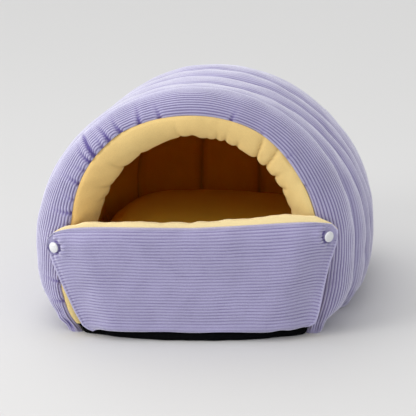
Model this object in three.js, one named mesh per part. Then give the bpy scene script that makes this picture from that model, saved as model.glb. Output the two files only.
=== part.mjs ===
// A padded pet cave bed, in millimetres, +Z up, with its mouth facing -Y.
// A fat arched roll frames the mouth, five stitched hoops form the tunnel behind it,
// and a rounded back closes it. A flap is folded up over the lower mouth and held by two snaps.
import * as THREE from 'three';
import { mergeVertices } from 'three/addons/utils/BufferGeometryUtils.js';

// Driving sizes
const CLEARANCE = 0.4;
const BASE = { height: 12, halfWidth: 156, frontReach: 31, frontBow: 30, bowPower: 2.6, inset: 3 };
const ARCH = { halfWidth: 181, widestHeight: 112, crownHeight: 304.5 };
const ROLL = { depth: 40, sideRadius: 41, crownRadius: 33, backAngle: 145, liningAngle: -150 };
const HOOP = { count: 5, pitch: 50, groove: 11, liningGroove: 4 };
const ROLL_FOOT = { drawnIn: 16, power: 2.2, tuck: 30, tuckHeight: 75 };
const HOOP_FOOT = { drawnIn: 20, power: 3.5, tuck: 11, tuckHeight: 45 };
const FRONT = { turn: 6, pivot: 43, start: 80, end: 220 };
const BODY = { shift: 12, start: 40, end: 150, upright: 0.5 };
const DOME = { squareness: 2.4, climb: 2.3, puff: 8 };
const CUSHION = {
  halfWidth: 186, halfDepth: 151, centre: 242, offset: 4, top: 116, squareness: 3.2, edge: 2.7,
};
const FLAP = {
  height: 159, rise: 12, tabDroop: 11, lowShift: 4, highShift: -5, hem: 2, puff: 10,
  liningRise: 5, liningRight: 6, bottomReach: 23, bottomBow: 7, topReach: 17, topBow: 9, tabBend: 4,
  cornerDrop: 4,
  edge: 0.3, topFullness: 0.4,
};
const SNAP = { radius: 7.5, height: 4, seat: 0.6 };

// Where the pieces meet, worked out from the sizes above
const radians = THREE.MathUtils.degToRad;
const lerp = THREE.MathUtils.lerp;
const smoothstep = THREE.MathUtils.smoothstep;
const HALF_GAP = CLEARANCE / 2;
const ROLL_BACK = ROLL.depth * (1 - Math.cos(radians(ROLL.backAngle)));
const LINING_START = ROLL.depth * (1 - Math.cos(radians(ROLL.liningAngle)));
const BODY_BACK = ROLL_BACK + HOOP.count * HOOP.pitch;
const WALL_START = ROLL_BACK + 0.7 * HOOP.pitch;
const ON_BASE = BASE.height + CLEARANCE;

// How far each layer of the wall stands outside the roll's centre line, at the sides and at the
// crown, how much less at the shoulders between them, and how deep the rounded back is
const LAYER = {
  outer: { side: 43, crown: 7, shoulder: 20, depth: 125 },
  middle: { side: 30, crown: 0, shoulder: 16, depth: 105 },
  inner: { side: 21, crown: -9, shoulder: 12, depth: 85 },
};
const BEHIND_ROLL = { side: 4, crown: 2, shoulder: 0 };
// The crests of the hoops, from the mouth to the back
const CRESTS = [
  { side: 56, crown: 28, shoulder: 10 },
  { side: 58, crown: 28, shoulder: 12 },
  { side: 58, crown: 30, shoulder: 18 },
  { side: 57, crown: 30, shoulder: 20 },
  { side: 56, crown: 20, shoulder: 20 },
];
// The stitched seams between the upright channels of the rounded back, in degrees round it
const BACK_SEAMS = [-90, -46, -11, 11, 46, 90];
// Where the seam between the two cloths runs round the roll, in degrees outwards from its front,
// by share of the way from the left foot, -1, over the crown, 0, to the right foot, 1
const SEAM = [
  { share: -1, degrees: -12 },
  { share: -0.93, degrees: 5 },
  { share: -0.82, degrees: 11 },
  { share: -0.59, degrees: -11 },
  { share: -0.45, degrees: 3 },
  { share: -0.38, degrees: 9 },
  { share: -0.24, degrees: 16 },
  { share: -0.05, degrees: 8 },
  { share: 0.22, degrees: 5 },
  { share: 0.42, degrees: -10 },
  { share: 0.58, degrees: -15 },
  { share: 0.92, degrees: -20 },
  { share: 1, degrees: -14 },
];
// Half the flap's width by share of its height
const FLAP_WIDTHS = [
  { share: 0, half: 145 },
  { share: 0.02, half: 152 },
  { share: 0.06, half: 159 },
  { share: 0.2, half: 168 },
  { share: 0.48, half: 182 },
  { share: 0.7, half: 192 },
  { share: 0.86, half: 197 },
  { share: 0.94, half: 196 },
  { share: 1, half: 187 },
];
const FLAP_FOOT = FLAP_WIDTHS[0].half;
const FLAP_WIDEST = Math.max(...FLAP_WIDTHS.map((row) => row.half));
// The snaps, each with its place on the flap by share of its half width and of its height
const SNAPS = [
  { name: 'snap_left', across: -0.954, up: 0.838 },
  { name: 'snap_right', across: 0.94, up: 0.884 },
];
// Steps from the widest line to the crown, for the walls and for the back
const WALL_STEPS = 14;
const BACK_STEPS = 8;
// Heights at which the walls are measured below their widest line
const LEG_HEIGHTS = [94, 70, 48, 28, ON_BASE];

// Materials
const cloth = (color) => new THREE.MeshStandardMaterial({ color, roughness: 0.95, metalness: 0 });
const lilac = cloth(0x9c94c4);
const butter = cloth(0xe3bf7a);
const underside = cloth(0x111113);
const plastic = new THREE.MeshStandardMaterial({ color: 0xf2f2f4, roughness: 0.25, metalness: 0 });

// Reads a short table at any place, in straight steps between its rows
function fromTable(rows, at, column) {
  const next = rows.findIndex((row) => row.share >= at);
  if (next === 0) return rows[0][column];
  const [low, high] = [rows[next - 1], rows[next]];
  return THREE.MathUtils.mapLinear(at, low.share, high.share, low[column], high[column]);
}

// Turns the front of the bed a little to the right, and slides the tunnel a little sideways,
// less so at its crown than at its foot
function placed(x, y, z) {
  const turn = radians(FRONT.turn) * (1 - smoothstep(y, FRONT.start, FRONT.end));
  const ahead = y - FRONT.pivot;
  const slide = BODY.shift * smoothstep(y, BODY.start, BODY.end);
  const height = z / ARCH.crownHeight;
  return new THREE.Vector3(
    x * Math.cos(turn) - ahead * Math.sin(turn) + slide * (1 - BODY.upright * height ** 2),
    FRONT.pivot + x * Math.sin(turn) + ahead * Math.cos(turn),
    z,
  );
}

// The places along the arch where the cloth is measured, from the left foot to the right one
function archStations(footHeight, arcSteps) {
  const legShare = 0.3;
  const right = [];
  for (let step = 1; step <= arcSteps; step += 1) {
    right.push({ angle: (90 * step) / arcSteps, share: ((1 - legShare) * step) / arcSteps });
  }
  for (const height of [...LEG_HEIGHTS.filter((level) => level > footHeight), footHeight]) {
    const drop = 1 - height / ARCH.widestHeight;
    right.push({ height, share: 1 - legShare + legShare * drop });
  }
  const left = right.map((station) => ({ ...station, hand: -1, share: -station.share })).reverse();
  return [...left, { angle: 0, share: 0, hand: 1 }, ...right.map((station) => ({ ...station, hand: 1 }))];
}

// How far a foot is drawn in at a height, on a surface that stands so far to the outside
function footInset(foot, height, outside) {
  const drop = 1 - height / ARCH.widestHeight;
  const low = Math.max(0, 1 - height / foot.tuckHeight);
  return foot.drawnIn * drop ** foot.power + foot.tuck * outside * low ** 2;
}

// Half the width and the height of the arch at one station, so far outside the centre line
function archOutline(station, y, away) {
  if (station.height !== undefined) {
    const outside = THREE.MathUtils.clamp(away.side / ROLL.sideRadius, 0, 1) ** 2;
    const inset = lerp(
      footInset(ROLL_FOOT, station.height, outside),
      footInset(HOOP_FOOT, station.height, outside),
      smoothstep(y, ROLL.depth, WALL_START),
    );
    return [ARCH.halfWidth + away.side - inset, station.height];
  }
  const angle = radians(station.angle);
  const less = away.shoulder * Math.sin(angle) ** 2 * Math.cos(angle);
  const rise = ARCH.crownHeight + away.crown - less - ARCH.widestHeight;
  return [
    (ARCH.halfWidth + away.side - less) * Math.sin(angle),
    ARCH.widestHeight + rise * Math.cos(angle),
  ];
}

// A point of the arch at one station
function archPoint(station, y, away) {
  const [x, z] = archOutline(station, y, away);
  return placed(station.hand * x, y, z);
}

// One point of the stuffed roll round the mouth, by its angle outwards from the front
function rollPoint(station, degrees, gap) {
  const angle = radians(degrees);
  const side = ROLL.sideRadius * Math.sin(angle) + gap;
  const crown = ROLL.crownRadius * Math.sin(angle) + gap;
  return archPoint(station, ROLL.depth * (1 - Math.cos(angle)), { side, crown, shoulder: 0 });
}

// The surface inside the wall where the lilac and the yellow halves meet, from the back forwards
function middlePoints(station, gap) {
  const rows = [
    { y: BODY_BACK, ...LAYER.middle },
    { y: WALL_START, ...LAYER.middle },
    { y: ROLL_BACK, ...BEHIND_ROLL },
    { y: ROLL.depth, side: 0, crown: 0, shoulder: 0 },
  ];
  return rows.map(({ y, side, crown, shoulder }) => archPoint(
    station,
    y,
    { side: side + gap, crown: crown + gap, shoulder },
  ));
}

// One section of the lilac shell: the roll's outer half, then each hoop, then back inside
function shellSection(station) {
  const rollSteps = 8;
  const hoopSteps = 6;
  const seam = fromTable(SEAM, station.share, 'degrees');
  const points = [];
  for (let step = 0; step <= rollSteps; step += 1) {
    points.push(rollPoint(station, lerp(seam, ROLL.backAngle, step / rollSteps), HALF_GAP));
  }
  const rollEdge = Math.sin(radians(ROLL.backAngle));
  CRESTS.forEach((crest, index) => {
    for (let step = 1; step <= hoopSteps; step += 1) {
      const across = (Math.PI * step) / hoopSteps;
      const flat = 1 - Math.sin(across) ** 0.8;
      const first = index === 0 && step < hoopSteps / 2;
      const sideDip = first ? crest.side - ROLL.sideRadius * rollEdge : HOOP.groove;
      const crownDip = first ? crest.crown - ROLL.crownRadius * rollEdge : HOOP.groove;
      points.push(archPoint(station, ROLL_BACK + HOOP.pitch * (index + (1 - Math.cos(across)) / 2), {
        side: crest.side - sideDip * flat,
        crown: crest.crown - crownDip * flat,
        shoulder: first ? crest.shoulder * (1 - flat) : crest.shoulder,
      }));
    }
  });
  return [...points, ...middlePoints(station, HALF_GAP)];
}

// One section of the yellow lining: the roll's inner half, then the quilted inner wall
function liningSection(station) {
  const rollSteps = 8;
  const hoopSteps = 4;
  const seam = fromTable(SEAM, station.share, 'degrees');
  const points = [];
  for (let step = 0; step <= rollSteps; step += 1) {
    points.push(rollPoint(station, lerp(seam, ROLL.liningAngle, step / rollSteps), -HALF_GAP));
  }
  const edge = Math.sin(radians(ROLL.liningAngle));
  for (let step = 1; step <= HOOP.count * hoopSteps; step += 1) {
    const along = step / hoopSteps;
    const puff = HOOP.liningGroove * Math.abs(Math.sin(Math.PI * along));
    const blend = smoothstep(along, 0, 0.75);
    points.push(archPoint(station, lerp(LINING_START, BODY_BACK, along / HOOP.count), {
      side: lerp(ROLL.sideRadius * edge, LAYER.inner.side, blend) - puff,
      crown: lerp(ROLL.crownRadius * edge, LAYER.inner.crown, blend) - puff,
      shoulder: LAYER.inner.shoulder * blend,
    }));
  }
  return [...points, ...middlePoints(station, -HALF_GAP)];
}

// Makes a closed body from points and faces, with its faces pointing out
function closedBody(points, faces) {
  const loose = new THREE.BufferGeometry();
  loose.setAttribute('position', new THREE.Float32BufferAttribute(points.flatMap((p) => p.toArray()), 3));
  loose.setIndex(faces.flat());
  const welded = mergeVertices(loose, 1e-3);
  const index = Array.from(welded.index.array);
  const kept = [];
  let volume = 0;
  const corner = [new THREE.Vector3(), new THREE.Vector3(), new THREE.Vector3()];
  for (let start = 0; start < index.length; start += 3) {
    const [a, b, c] = index.slice(start, start + 3);
    if (a === b || b === c || c === a) continue;
    [a, b, c].forEach((vertex, at) => corner[at].fromBufferAttribute(welded.attributes.position, vertex));
    volume += corner[0].dot(corner[1].clone().cross(corner[2]));
    kept.push([a, b, c]);
  }
  welded.setIndex(kept.flatMap(([a, b, c]) => (volume < 0 ? [a, c, b] : [a, b, c])));
  welded.computeVertexNormals();
  return welded;
}

// Closes a level ring of points with faces that turn the same way as the ring, or the other way
function levelCap(ring, start, sameWay) {
  const outline = ring.map((point) => new THREE.Vector2(point.x, point.y));
  const ringAhead = THREE.ShapeUtils.area(outline) > 0;
  return THREE.ShapeUtils.triangulateShape(outline, []).map((face) => {
    const faceAhead = THREE.ShapeUtils.area(face.map((vertex) => outline[vertex])) > 0;
    const [a, b, c] = face.map((vertex) => start + vertex);
    return (faceAhead === ringAhead) === sameWay ? [a, b, c] : [a, c, b];
  });
}

// Joins closed rings into one body, with a level cap on the first and the last ring
function ringBody(rings) {
  const size = rings[0].length;
  const lastStart = (rings.length - 1) * size;
  const faces = [];
  for (let low = 0; low < lastStart; low += size) {
    const high = low + size;
    for (let at = 0; at < size; at += 1) {
      const next = (at + 1) % size;
      faces.push([low + at, low + next, high + next], [low + at, high + next, high + at]);
    }
  }
  faces.push(...levelCap(rings[0], 0, false), ...levelCap(rings[rings.length - 1], lastStart, true));
  return closedBody(rings.flat(), faces);
}

// Joins two grids of points into one body, with a strip round their edges
function quiltBody(front, back) {
  const rows = front.length;
  const cols = front[0].length;
  const at = (side, row, col) => (side * rows + row) * cols + col;
  const faces = [];
  const quad = (a, b, c, d) => faces.push([a, b, c], [a, c, d]);
  for (let row = 0; row + 1 < rows; row += 1) {
    for (let col = 0; col + 1 < cols; col += 1) {
      quad(at(0, row, col), at(0, row, col + 1), at(0, row + 1, col + 1), at(0, row + 1, col));
      quad(at(1, row, col), at(1, row + 1, col), at(1, row + 1, col + 1), at(1, row, col + 1));
    }
    quad(at(0, row, 0), at(0, row + 1, 0), at(1, row + 1, 0), at(1, row, 0));
    quad(at(0, row + 1, cols - 1), at(0, row, cols - 1), at(1, row, cols - 1), at(1, row + 1, cols - 1));
  }
  for (let col = 0; col + 1 < cols; col += 1) {
    quad(at(0, 0, col + 1), at(0, 0, col), at(1, 0, col), at(1, 0, col + 1));
    quad(at(0, rows - 1, col), at(0, rows - 1, col + 1), at(1, rows - 1, col + 1), at(1, rows - 1, col));
  }
  return closedBody([...front.flat(), ...back.flat()], faces);
}

// One layer of the rounded back, puffed outwards by its stitched upright channels
function domeLayer(layer, footHeight, puff) {
  const colsPerChannel = 6;
  const power = 2 / DOME.squareness;
  const cols = (BACK_SEAMS.length - 1) * colsPerChannel;
  const stations = archStations(footHeight, BACK_STEPS).filter((station) => station.hand === 1);
  return stations.map((station) => {
    const climb = station.height !== undefined
      ? station.height / ARCH.crownHeight
      : lerp(1, ARCH.widestHeight / ARCH.crownHeight, 1 - Math.cos(radians(station.angle)));
    const fullness = (1 - climb ** DOME.climb) ** (1 / DOME.climb);
    const line = [];
    for (let col = 0; col <= cols; col += 1) {
      const channel = Math.min(Math.floor(col / colsPerChannel), BACK_SEAMS.length - 2);
      const along = col / colsPerChannel - channel;
      const across = radians(lerp(BACK_SEAMS[channel], BACK_SEAMS[channel + 1], along));
      const stuffed = puff * Math.sin(Math.PI * along) ** 0.8 * Math.sqrt(fullness);
      const [half, z] = archOutline(station, BODY_BACK, {
        side: layer.side + stuffed,
        crown: layer.crown + stuffed,
        shoulder: layer.shoulder,
      });
      const reach = Math.abs(Math.cos(across)) ** power * fullness;
      const x = Math.sign(across) * Math.abs(Math.sin(across)) ** power * half;
      line.push(placed(x, BODY_BACK + CLEARANCE + (layer.depth + stuffed) * reach, z));
    }
    return line;
  });
}

// A layer moved in or out by a gap
function moved(layer, gap) {
  return { ...layer, side: layer.side + gap, crown: layer.crown + gap, depth: layer.depth + gap };
}

function shell() {
  return ringBody(archStations(0, WALL_STEPS).map(shellSection));
}

function lining() {
  return ringBody(archStations(ON_BASE, WALL_STEPS).map(liningSection));
}

function backPanel() {
  return quiltBody(
    domeLayer(LAYER.outer, 0, DOME.puff),
    domeLayer(moved(LAYER.middle, HALF_GAP), 0, 0),
  );
}

function backLining() {
  return quiltBody(
    domeLayer(moved(LAYER.middle, -HALF_GAP), ON_BASE, 0),
    domeLayer(LAYER.inner, ON_BASE, -DOME.puff),
  );
}

// The black underside: bowed in front of the mouth, and inside the feet of the walls
function baseOutline() {
  const frontSteps = 8;
  const corner = 6;
  const right = [];
  for (let step = 1; step <= frontSteps; step += 1) {
    const x = (BASE.halfWidth - corner) * Math.sin(radians((90 * step) / frontSteps));
    right.push([x, BASE.frontBow * (x / BASE.halfWidth) ** BASE.bowPower - BASE.frontReach]);
  }
  const insideWall = (y, side) => [archOutline({ height: 0 }, y, { side })[0] - BASE.inset, y];
  const wall = [
    insideWall(ROLL.depth, 0),
    insideWall(ROLL_BACK, BEHIND_ROLL.side),
    insideWall(WALL_START, LAYER.middle.side),
  ];
  const insideSeam = (share) => {
    const angle = radians(fromTable(SEAM, share, 'degrees'));
    return insideWall(ROLL.depth * (1 - Math.cos(angle)), ROLL.sideRadius * Math.sin(angle));
  };
  const mirrored = (points) => points.map(([x, y]) => [-x, y]).reverse();
  const left = mirrored([...right, insideSeam(-1), ...wall]);
  const front = [...left, [0, -BASE.frontReach], ...right, insideSeam(1), ...wall]
    .map(([x, y]) => placed(x, y, 0));
  const back = domeLayer(moved(LAYER.middle, -BASE.inset), 0, 0).at(-1);
  return [...front, ...back.reverse()];
}

function base() {
  const outline = baseOutline();
  return ringBody([0, BASE.height].map((z) => outline.map((point) => point.clone().setZ(z))));
}

// The loose inner cushion, fullest at half its height, with a crowned top
function cushion() {
  const around = 40;
  const rings = 14;
  const lastLift = 86;
  const middle = (ON_BASE + CUSHION.top) / 2;
  const round = (value, squareness) => Math.sign(value) * Math.abs(value) ** (2 / squareness);
  const body = [];
  for (let ring = 0; ring <= rings; ring += 1) {
    const lift = radians(lerp(-lastLift, lastLift, ring / rings));
    const scale = round(Math.cos(lift), CUSHION.edge);
    const z = middle + (CUSHION.top - middle) * round(Math.sin(lift), CUSHION.edge);
    const points = [];
    for (let step = 0; step < around; step += 1) {
      const angle = (2 * Math.PI * step) / around;
      const x = CUSHION.halfWidth * scale * round(Math.cos(angle), CUSHION.squareness);
      const y = CUSHION.halfDepth * scale * round(Math.sin(angle), CUSHION.squareness);
      points.push(placed(x - CUSHION.offset, CUSHION.centre + y, z));
    }
    body.push(points);
  }
  return ringBody(body);
}

// How far back the surface between the flap's two cloths stands, at any place on it
function flapReach(x, z) {
  const up = Math.max(0, (z - ON_BASE) / (FLAP.height - ON_BASE));
  const wide = Math.abs(x) / FLAP_WIDEST;
  const low = Math.min(1, Math.abs(x) / FLAP_FOOT);
  const bottom = FLAP.bottomBow * low ** BASE.bowPower - FLAP.bottomReach;
  const top = FLAP.topBow * wide ** 3 - FLAP.topReach;
  return lerp(bottom, top, Math.sqrt(up)) + FLAP.tabBend * Math.min(1, wide) ** 16 * up ** 6;
}

// A point of that surface, by share of the half width and of the height
function flapMiddle(across, up, rise) {
  const half = fromTable(FLAP_WIDTHS, up, 'half');
  const x = lerp(FLAP.lowShift, FLAP.highShift, up) + across * half;
  const rightward = Math.max(0, across);
  const droop = FLAP.tabDroop * across ** 8;
  const lift = rise * (FLAP.liningRise + FLAP.liningRight * rightward) * (1 - across ** 8) * up ** 2;
  const hang = FLAP.cornerDrop * across ** 24;
  const z = lerp(ON_BASE - hang, FLAP.height + FLAP.rise * rightward ** 1.2 - droop, up) + lift;
  return { x, y: flapReach(x, z), z };
}

// How full the padding is at a place on the flap, from 0 at its hem to 1
function flapFullness(across, up, rise) {
  const thinTop = up > 0.5 ? 1 - rise * FLAP.topFullness : 1;
  return smoothstep(1 - Math.abs(across), 0, FLAP.edge) * Math.sqrt(1 - thinTop * (2 * up - 1) ** 6);
}

// One face of the padded flap, so far behind its middle at the hem and where it is fullest
function flapLayer(hem, puff, rise) {
  const rows = 14;
  const cols = 28;
  const grid = [];
  for (let row = 0; row <= rows; row += 1) {
    const line = [];
    for (let col = 0; col <= cols; col += 1) {
      const up = (1 - Math.cos((Math.PI * row) / rows)) / 2;
      const across = Math.sin(radians(180 * (col / cols) - 90));
      const { x, y, z } = flapMiddle(across, up, rise);
      line.push(placed(x, y + hem + puff * flapFullness(across, up, rise), z));
    }
    grid.push(line);
  }
  return grid;
}

function flapFace() {
  return quiltBody(flapLayer(-FLAP.hem, -FLAP.puff, 0), flapLayer(-HALF_GAP, 0, 0));
}

function flapLining() {
  return quiltBody(flapLayer(HALF_GAP, 0, 1), flapLayer(FLAP.hem, FLAP.puff, 1));
}

// A domed snap cap, lying on its tab
function snap() {
  const profile = [new THREE.Vector2(0, 0), new THREE.Vector2(SNAP.radius, 0)];
  const steps = 4;
  for (let step = 1; step <= steps; step += 1) {
    const angle = radians((90 * step) / steps);
    const radius = step === steps ? 0 : SNAP.radius * Math.cos(angle) ** 0.5;
    profile.push(new THREE.Vector2(radius, 1 + (SNAP.height - 1) * Math.sin(angle)));
  }
  const lathe = new THREE.LatheGeometry(profile, 20);
  lathe.deleteAttribute('normal');
  lathe.deleteAttribute('uv');
  const points = [];
  for (let vertex = 0; vertex < lathe.attributes.position.count; vertex += 1) {
    points.push(new THREE.Vector3().fromBufferAttribute(lathe.attributes.position, vertex));
  }
  const index = Array.from(lathe.index.array);
  const faces = [];
  for (let start = 0; start < index.length; start += 3) faces.push(index.slice(start, start + 3));
  return closedBody(points, faces);
}

// The scene graph
const bed = new THREE.Group();
function add(name, geometry, material) {
  const mesh = new THREE.Mesh(geometry, material);
  mesh.name = name;
  bed.add(mesh);
  return mesh;
}

add('shell', shell(), lilac);
add('lining', lining(), butter);
add('back_panel', backPanel(), lilac);
add('back_lining', backLining(), butter);
add('cushion', cushion(), butter);
add('base', base(), underside);
add('flap_face', flapFace(), lilac);
add('flap_lining', flapLining(), butter);

for (const { name, across, up } of SNAPS) {
  const step = 0.03;
  const [inner, centre, outer] = [across - step, across, across + step].map((place) => {
    const { x, y, z } = flapMiddle(place, up, 0);
    return placed(x, y - FLAP.hem - FLAP.puff * flapFullness(place, up, 0) - SNAP.seat, z);
  });
  const cap = add(name, snap(), plastic);
  cap.position.copy(centre);
  cap.rotation.set(radians(180), 0, Math.atan2(outer.y - inner.y, outer.x - inner.x), 'ZXY');
}

// The middle of the underside goes to the origin
const box = new THREE.Box3().setFromObject(bed);
const middle = box.getCenter(new THREE.Vector3());
bed.position.set(-middle.x, -middle.y, -box.min.z);

export default bed;
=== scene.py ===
# %% [markdown]
# # A padded pet cave bed in corduroy
#
# The real bed is sewn from two cloths. A lilac corduroy with wide ribs, which sewers call wales,
# covers the outside, and a butter yellow plush lines the inside. Both are stuffed, so every
# surface is round. A fat roll frames the mouth, five stitched hoops make the tunnel behind it,
# a loose cushion lies inside, and a front flap is folded up and held by two white snaps.
#
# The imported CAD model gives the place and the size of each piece. This scene sews a finer,
# softer piece round each of its plain solids, and gives it a cloth to be made of.

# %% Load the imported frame
import math

import bmesh
import bpy
import numpy as np
from mathutils import Matrix, Vector


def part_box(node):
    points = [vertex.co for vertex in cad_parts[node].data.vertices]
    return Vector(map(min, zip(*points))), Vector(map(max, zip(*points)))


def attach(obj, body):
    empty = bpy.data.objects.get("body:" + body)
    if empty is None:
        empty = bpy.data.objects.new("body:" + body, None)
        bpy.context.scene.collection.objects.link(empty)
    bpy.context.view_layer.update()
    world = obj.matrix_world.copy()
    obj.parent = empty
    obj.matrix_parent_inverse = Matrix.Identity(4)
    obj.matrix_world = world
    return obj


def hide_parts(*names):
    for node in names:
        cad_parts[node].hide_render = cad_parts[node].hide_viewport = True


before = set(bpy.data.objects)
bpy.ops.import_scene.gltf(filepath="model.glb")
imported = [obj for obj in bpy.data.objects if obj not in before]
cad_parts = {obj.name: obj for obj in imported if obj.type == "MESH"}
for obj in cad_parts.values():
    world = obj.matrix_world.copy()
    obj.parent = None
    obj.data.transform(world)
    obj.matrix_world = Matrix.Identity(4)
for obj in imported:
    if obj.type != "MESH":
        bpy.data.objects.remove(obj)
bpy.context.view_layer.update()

print("solids in the frame:", ", ".join(sorted(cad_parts)))

# %% [markdown]
# ## The camera and the studio
#
# The camera comes first, because every later choice is judged through it. It looks down a little on
# the front of the bed from slightly right of it, with a long lens, so the far hoops stay large. The
# studio is a pale floor under a sky that is brightest overhead, a broad soft window of light from the
# upper left, and two lamps in front: a strong one on the left and a weak one that opens the shade.

# %% Camera
VIEW_TURN = math.radians(7)
VIEW_LIFT = math.radians(17)
VIEW_DISTANCE = 1.6
VIEW_TARGET = Vector((0.00941, -0.16016, 0.16777))
LENS_SHARE = 1150 / 416


def add_camera():
    lens = bpy.data.cameras.new("camera")
    lens.sensor_width = 36
    lens.lens = 36 * LENS_SHARE
    camera = bpy.data.objects.new("camera", lens)
    towards = Vector((
        -math.sin(VIEW_TURN) * math.cos(VIEW_LIFT),
        math.cos(VIEW_TURN) * math.cos(VIEW_LIFT),
        -math.sin(VIEW_LIFT),
    ))
    camera.location = VIEW_TARGET - VIEW_DISTANCE * towards
    camera.rotation_euler = (math.pi / 2 - VIEW_LIFT, 0, VIEW_TURN)
    bpy.context.scene.collection.objects.link(camera)
    bpy.context.scene.camera = camera
    return camera


camera = add_camera()
print("camera at", [round(value, 3) for value in camera.location])

# %% Floor, lamps and sky
FLOOR_REACH = 45
FLOOR_GREY = 0.61
FLOOR_SEEN_FAR_OFF = 0.675
HORIZON, ZENITH = 0.32, 0.95
WARM_WHITE = (1.0, 0.99, 0.975)


def plain_material(name, colour, roughness):
    material = bpy.data.materials.new(name)
    material.use_nodes = True
    shader = material.node_tree.nodes["Principled BSDF"]
    shader.inputs["Base Color"].default_value = (*colour, 1)
    shader.inputs["Roughness"].default_value = roughness
    return material


def add_floor():
    mesh = bpy.data.meshes.new("floor")
    corners = [(x * FLOOR_REACH, y * FLOOR_REACH, 0) for x, y in ((-1, -1), (1, -1), (1, 1), (-1, 1))]
    mesh.from_pydata(corners, [], [(0, 1, 2, 3)])
    floor = bpy.data.objects.new("floor", mesh)
    mesh.materials.append(plain_material("studio floor", (FLOOR_GREY,) * 3, 0.9))
    bpy.context.scene.collection.objects.link(floor)


def add_lamp(name, kind, energy, direction, distance=3.0, **settings):
    lamp = bpy.data.lights.new(name, kind)
    lamp.energy = energy
    lamp.color = WARM_WHITE
    for key, value in settings.items():
        setattr(lamp, key, value)
    holder = bpy.data.objects.new(name, lamp)
    towards = Vector(direction).normalized()
    holder.rotation_euler = towards.to_track_quat("Z", "Y").to_euler()
    holder.location = towards * distance
    bpy.context.scene.collection.objects.link(holder)


def add_sky():
    """A white sky that is dim at the horizon and bright overhead.

    Where the camera sees it, past the far edge of the floor, it is as pale as the floor.
    """
    world = bpy.data.worlds.new("pale sky")
    world.use_nodes = True
    nodes, links = world.node_tree.nodes, world.node_tree.links
    place = nodes.new("ShaderNodeSeparateXYZ")
    links.new(nodes.new("ShaderNodeTexCoord").outputs["Generated"], place.inputs[0])
    height = nodes.new("ShaderNodeMapRange")
    height.inputs["To Min"].default_value = HORIZON
    height.inputs["To Max"].default_value = ZENITH
    links.new(place.outputs["Z"], height.inputs["Value"])
    seen = nodes.new("ShaderNodeMix")
    links.new(nodes.new("ShaderNodeLightPath").outputs["Is Camera Ray"], seen.inputs["Factor"])
    links.new(height.outputs[0], seen.inputs["A"])
    seen.inputs["B"].default_value = FLOOR_SEEN_FAR_OFF
    links.new(seen.outputs["Result"], nodes["Background"].inputs["Strength"])
    nodes["Background"].inputs["Color"].default_value = (1.0, 1.0, 1.0, 1)
    bpy.context.scene.world = world


def light_studio():
    add_sky()
    add_lamp("window", "SUN", 1.35, (-0.62, 0.27, 1.0), angle=math.radians(80))
    add_lamp("left lamp", "AREA", 40, (-0.94, -0.66, 0.46), distance=3.0, shape="DISK", size=1.4)
    add_lamp("right lamp", "AREA", 4.5, (0.90, -0.80, 0.45), distance=2.4, shape="DISK", size=1.2)
    view = bpy.context.scene.view_settings
    view.view_transform = "Standard"
    view.look = "None"
    view.exposure = 0
    view.gamma = 1


add_floor()
light_studio()
print("lamps:", [lamp.name for lamp in bpy.data.lights])

# %% [markdown]
# ## The shape that every piece shares
#
# The CAD model was drawn from a few short rules: an arch, how far each layer stands outside it,
# a small turn of the front and a small slide of the tunnel. The same rules are written here once
# more, in millimetres, for whole arrays of points at a time, so the cloth lies where its solid does.

# %% Where the drawing's own origin lies in the frame
BASE_MIDDLE = 7.95
BASE_BACK = 425.17


def drawing_origin():
    """Finds it from the middle and the back edge of the flat base, which the drawing knows."""
    low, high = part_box("base")
    return np.array([(low.x + high.x) * 500 - BASE_MIDDLE, high.y * 1000 - BASE_BACK, 0.0])


ORIGIN = drawing_origin()
print("drawing origin in millimetres:", ORIGIN.round(2))


def to_frame(points):
    return (np.asarray(points) + ORIGIN) / 1000


# %% Small helpers for arrays
def smoothstep(value, low, high):
    share = np.clip((value - low) / (high - low), 0, 1)
    return share * share * (3 - 2 * share)


def mix(low, high, share):
    return low + (high - low) * share


def from_table(rows, at, blur=0.0):
    """Reads a table of (place, value) rows, with its corners rounded over a short distance."""
    places, values = zip(*rows)
    if not blur:
        return np.interp(at, places, values)
    offsets = np.linspace(-2, 2, 17)
    weights = np.exp(-offsets ** 2 / 2)
    total = sum(w * np.interp(np.asarray(at) + o * blur, places, values) for w, o in zip(weights, offsets))
    return total / weights.sum()


ARCH_CROWN = 304.5
FRONT_TURN = math.radians(6)
PIVOT = 43
TUNNEL_SLIDE = 12


def placed(x, y, z):
    """Turns the front of the bed a little and slides its tunnel sideways."""
    turn = FRONT_TURN * (1 - smoothstep(y, 80, 220))
    ahead = y - PIVOT
    slide = TUNNEL_SLIDE * smoothstep(y, 40, 150)
    across = x * np.cos(turn) - ahead * np.sin(turn) + slide * (1 - 0.5 * (z / ARCH_CROWN) ** 2)
    return np.stack([across, PIVOT + x * np.sin(turn) + ahead * np.cos(turn), z], axis=-1)


# %% The arch
ARCH_HALF = 181
ARCH_WIDEST = 112
LEG_SHARE = 0.7
ROLL_DEPTH = 40
ROLL_SIDE = 41
ROLL_CROWN = 33
ROLL_TURN = 145
ROLL_BACK = ROLL_DEPTH * (1 - math.cos(math.radians(ROLL_TURN)))
HOOP_PITCH = 50
HOOPS = 5
BODY_BACK = ROLL_BACK + HOOPS * HOOP_PITCH
WALL_START = ROLL_BACK + 0.7 * HOOP_PITCH
ON_BASE = 12.4
BASE_SHARE = LEG_SHARE + (1 - LEG_SHARE) * (1 - ON_BASE / ARCH_WIDEST)


def foot_inset(drawn, power, tuck, tuck_height, height, outside):
    low = np.maximum(0, 1 - height / tuck_height)
    return drawn * (1 - height / ARCH_WIDEST) ** power + tuck * outside * low ** 2


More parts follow.
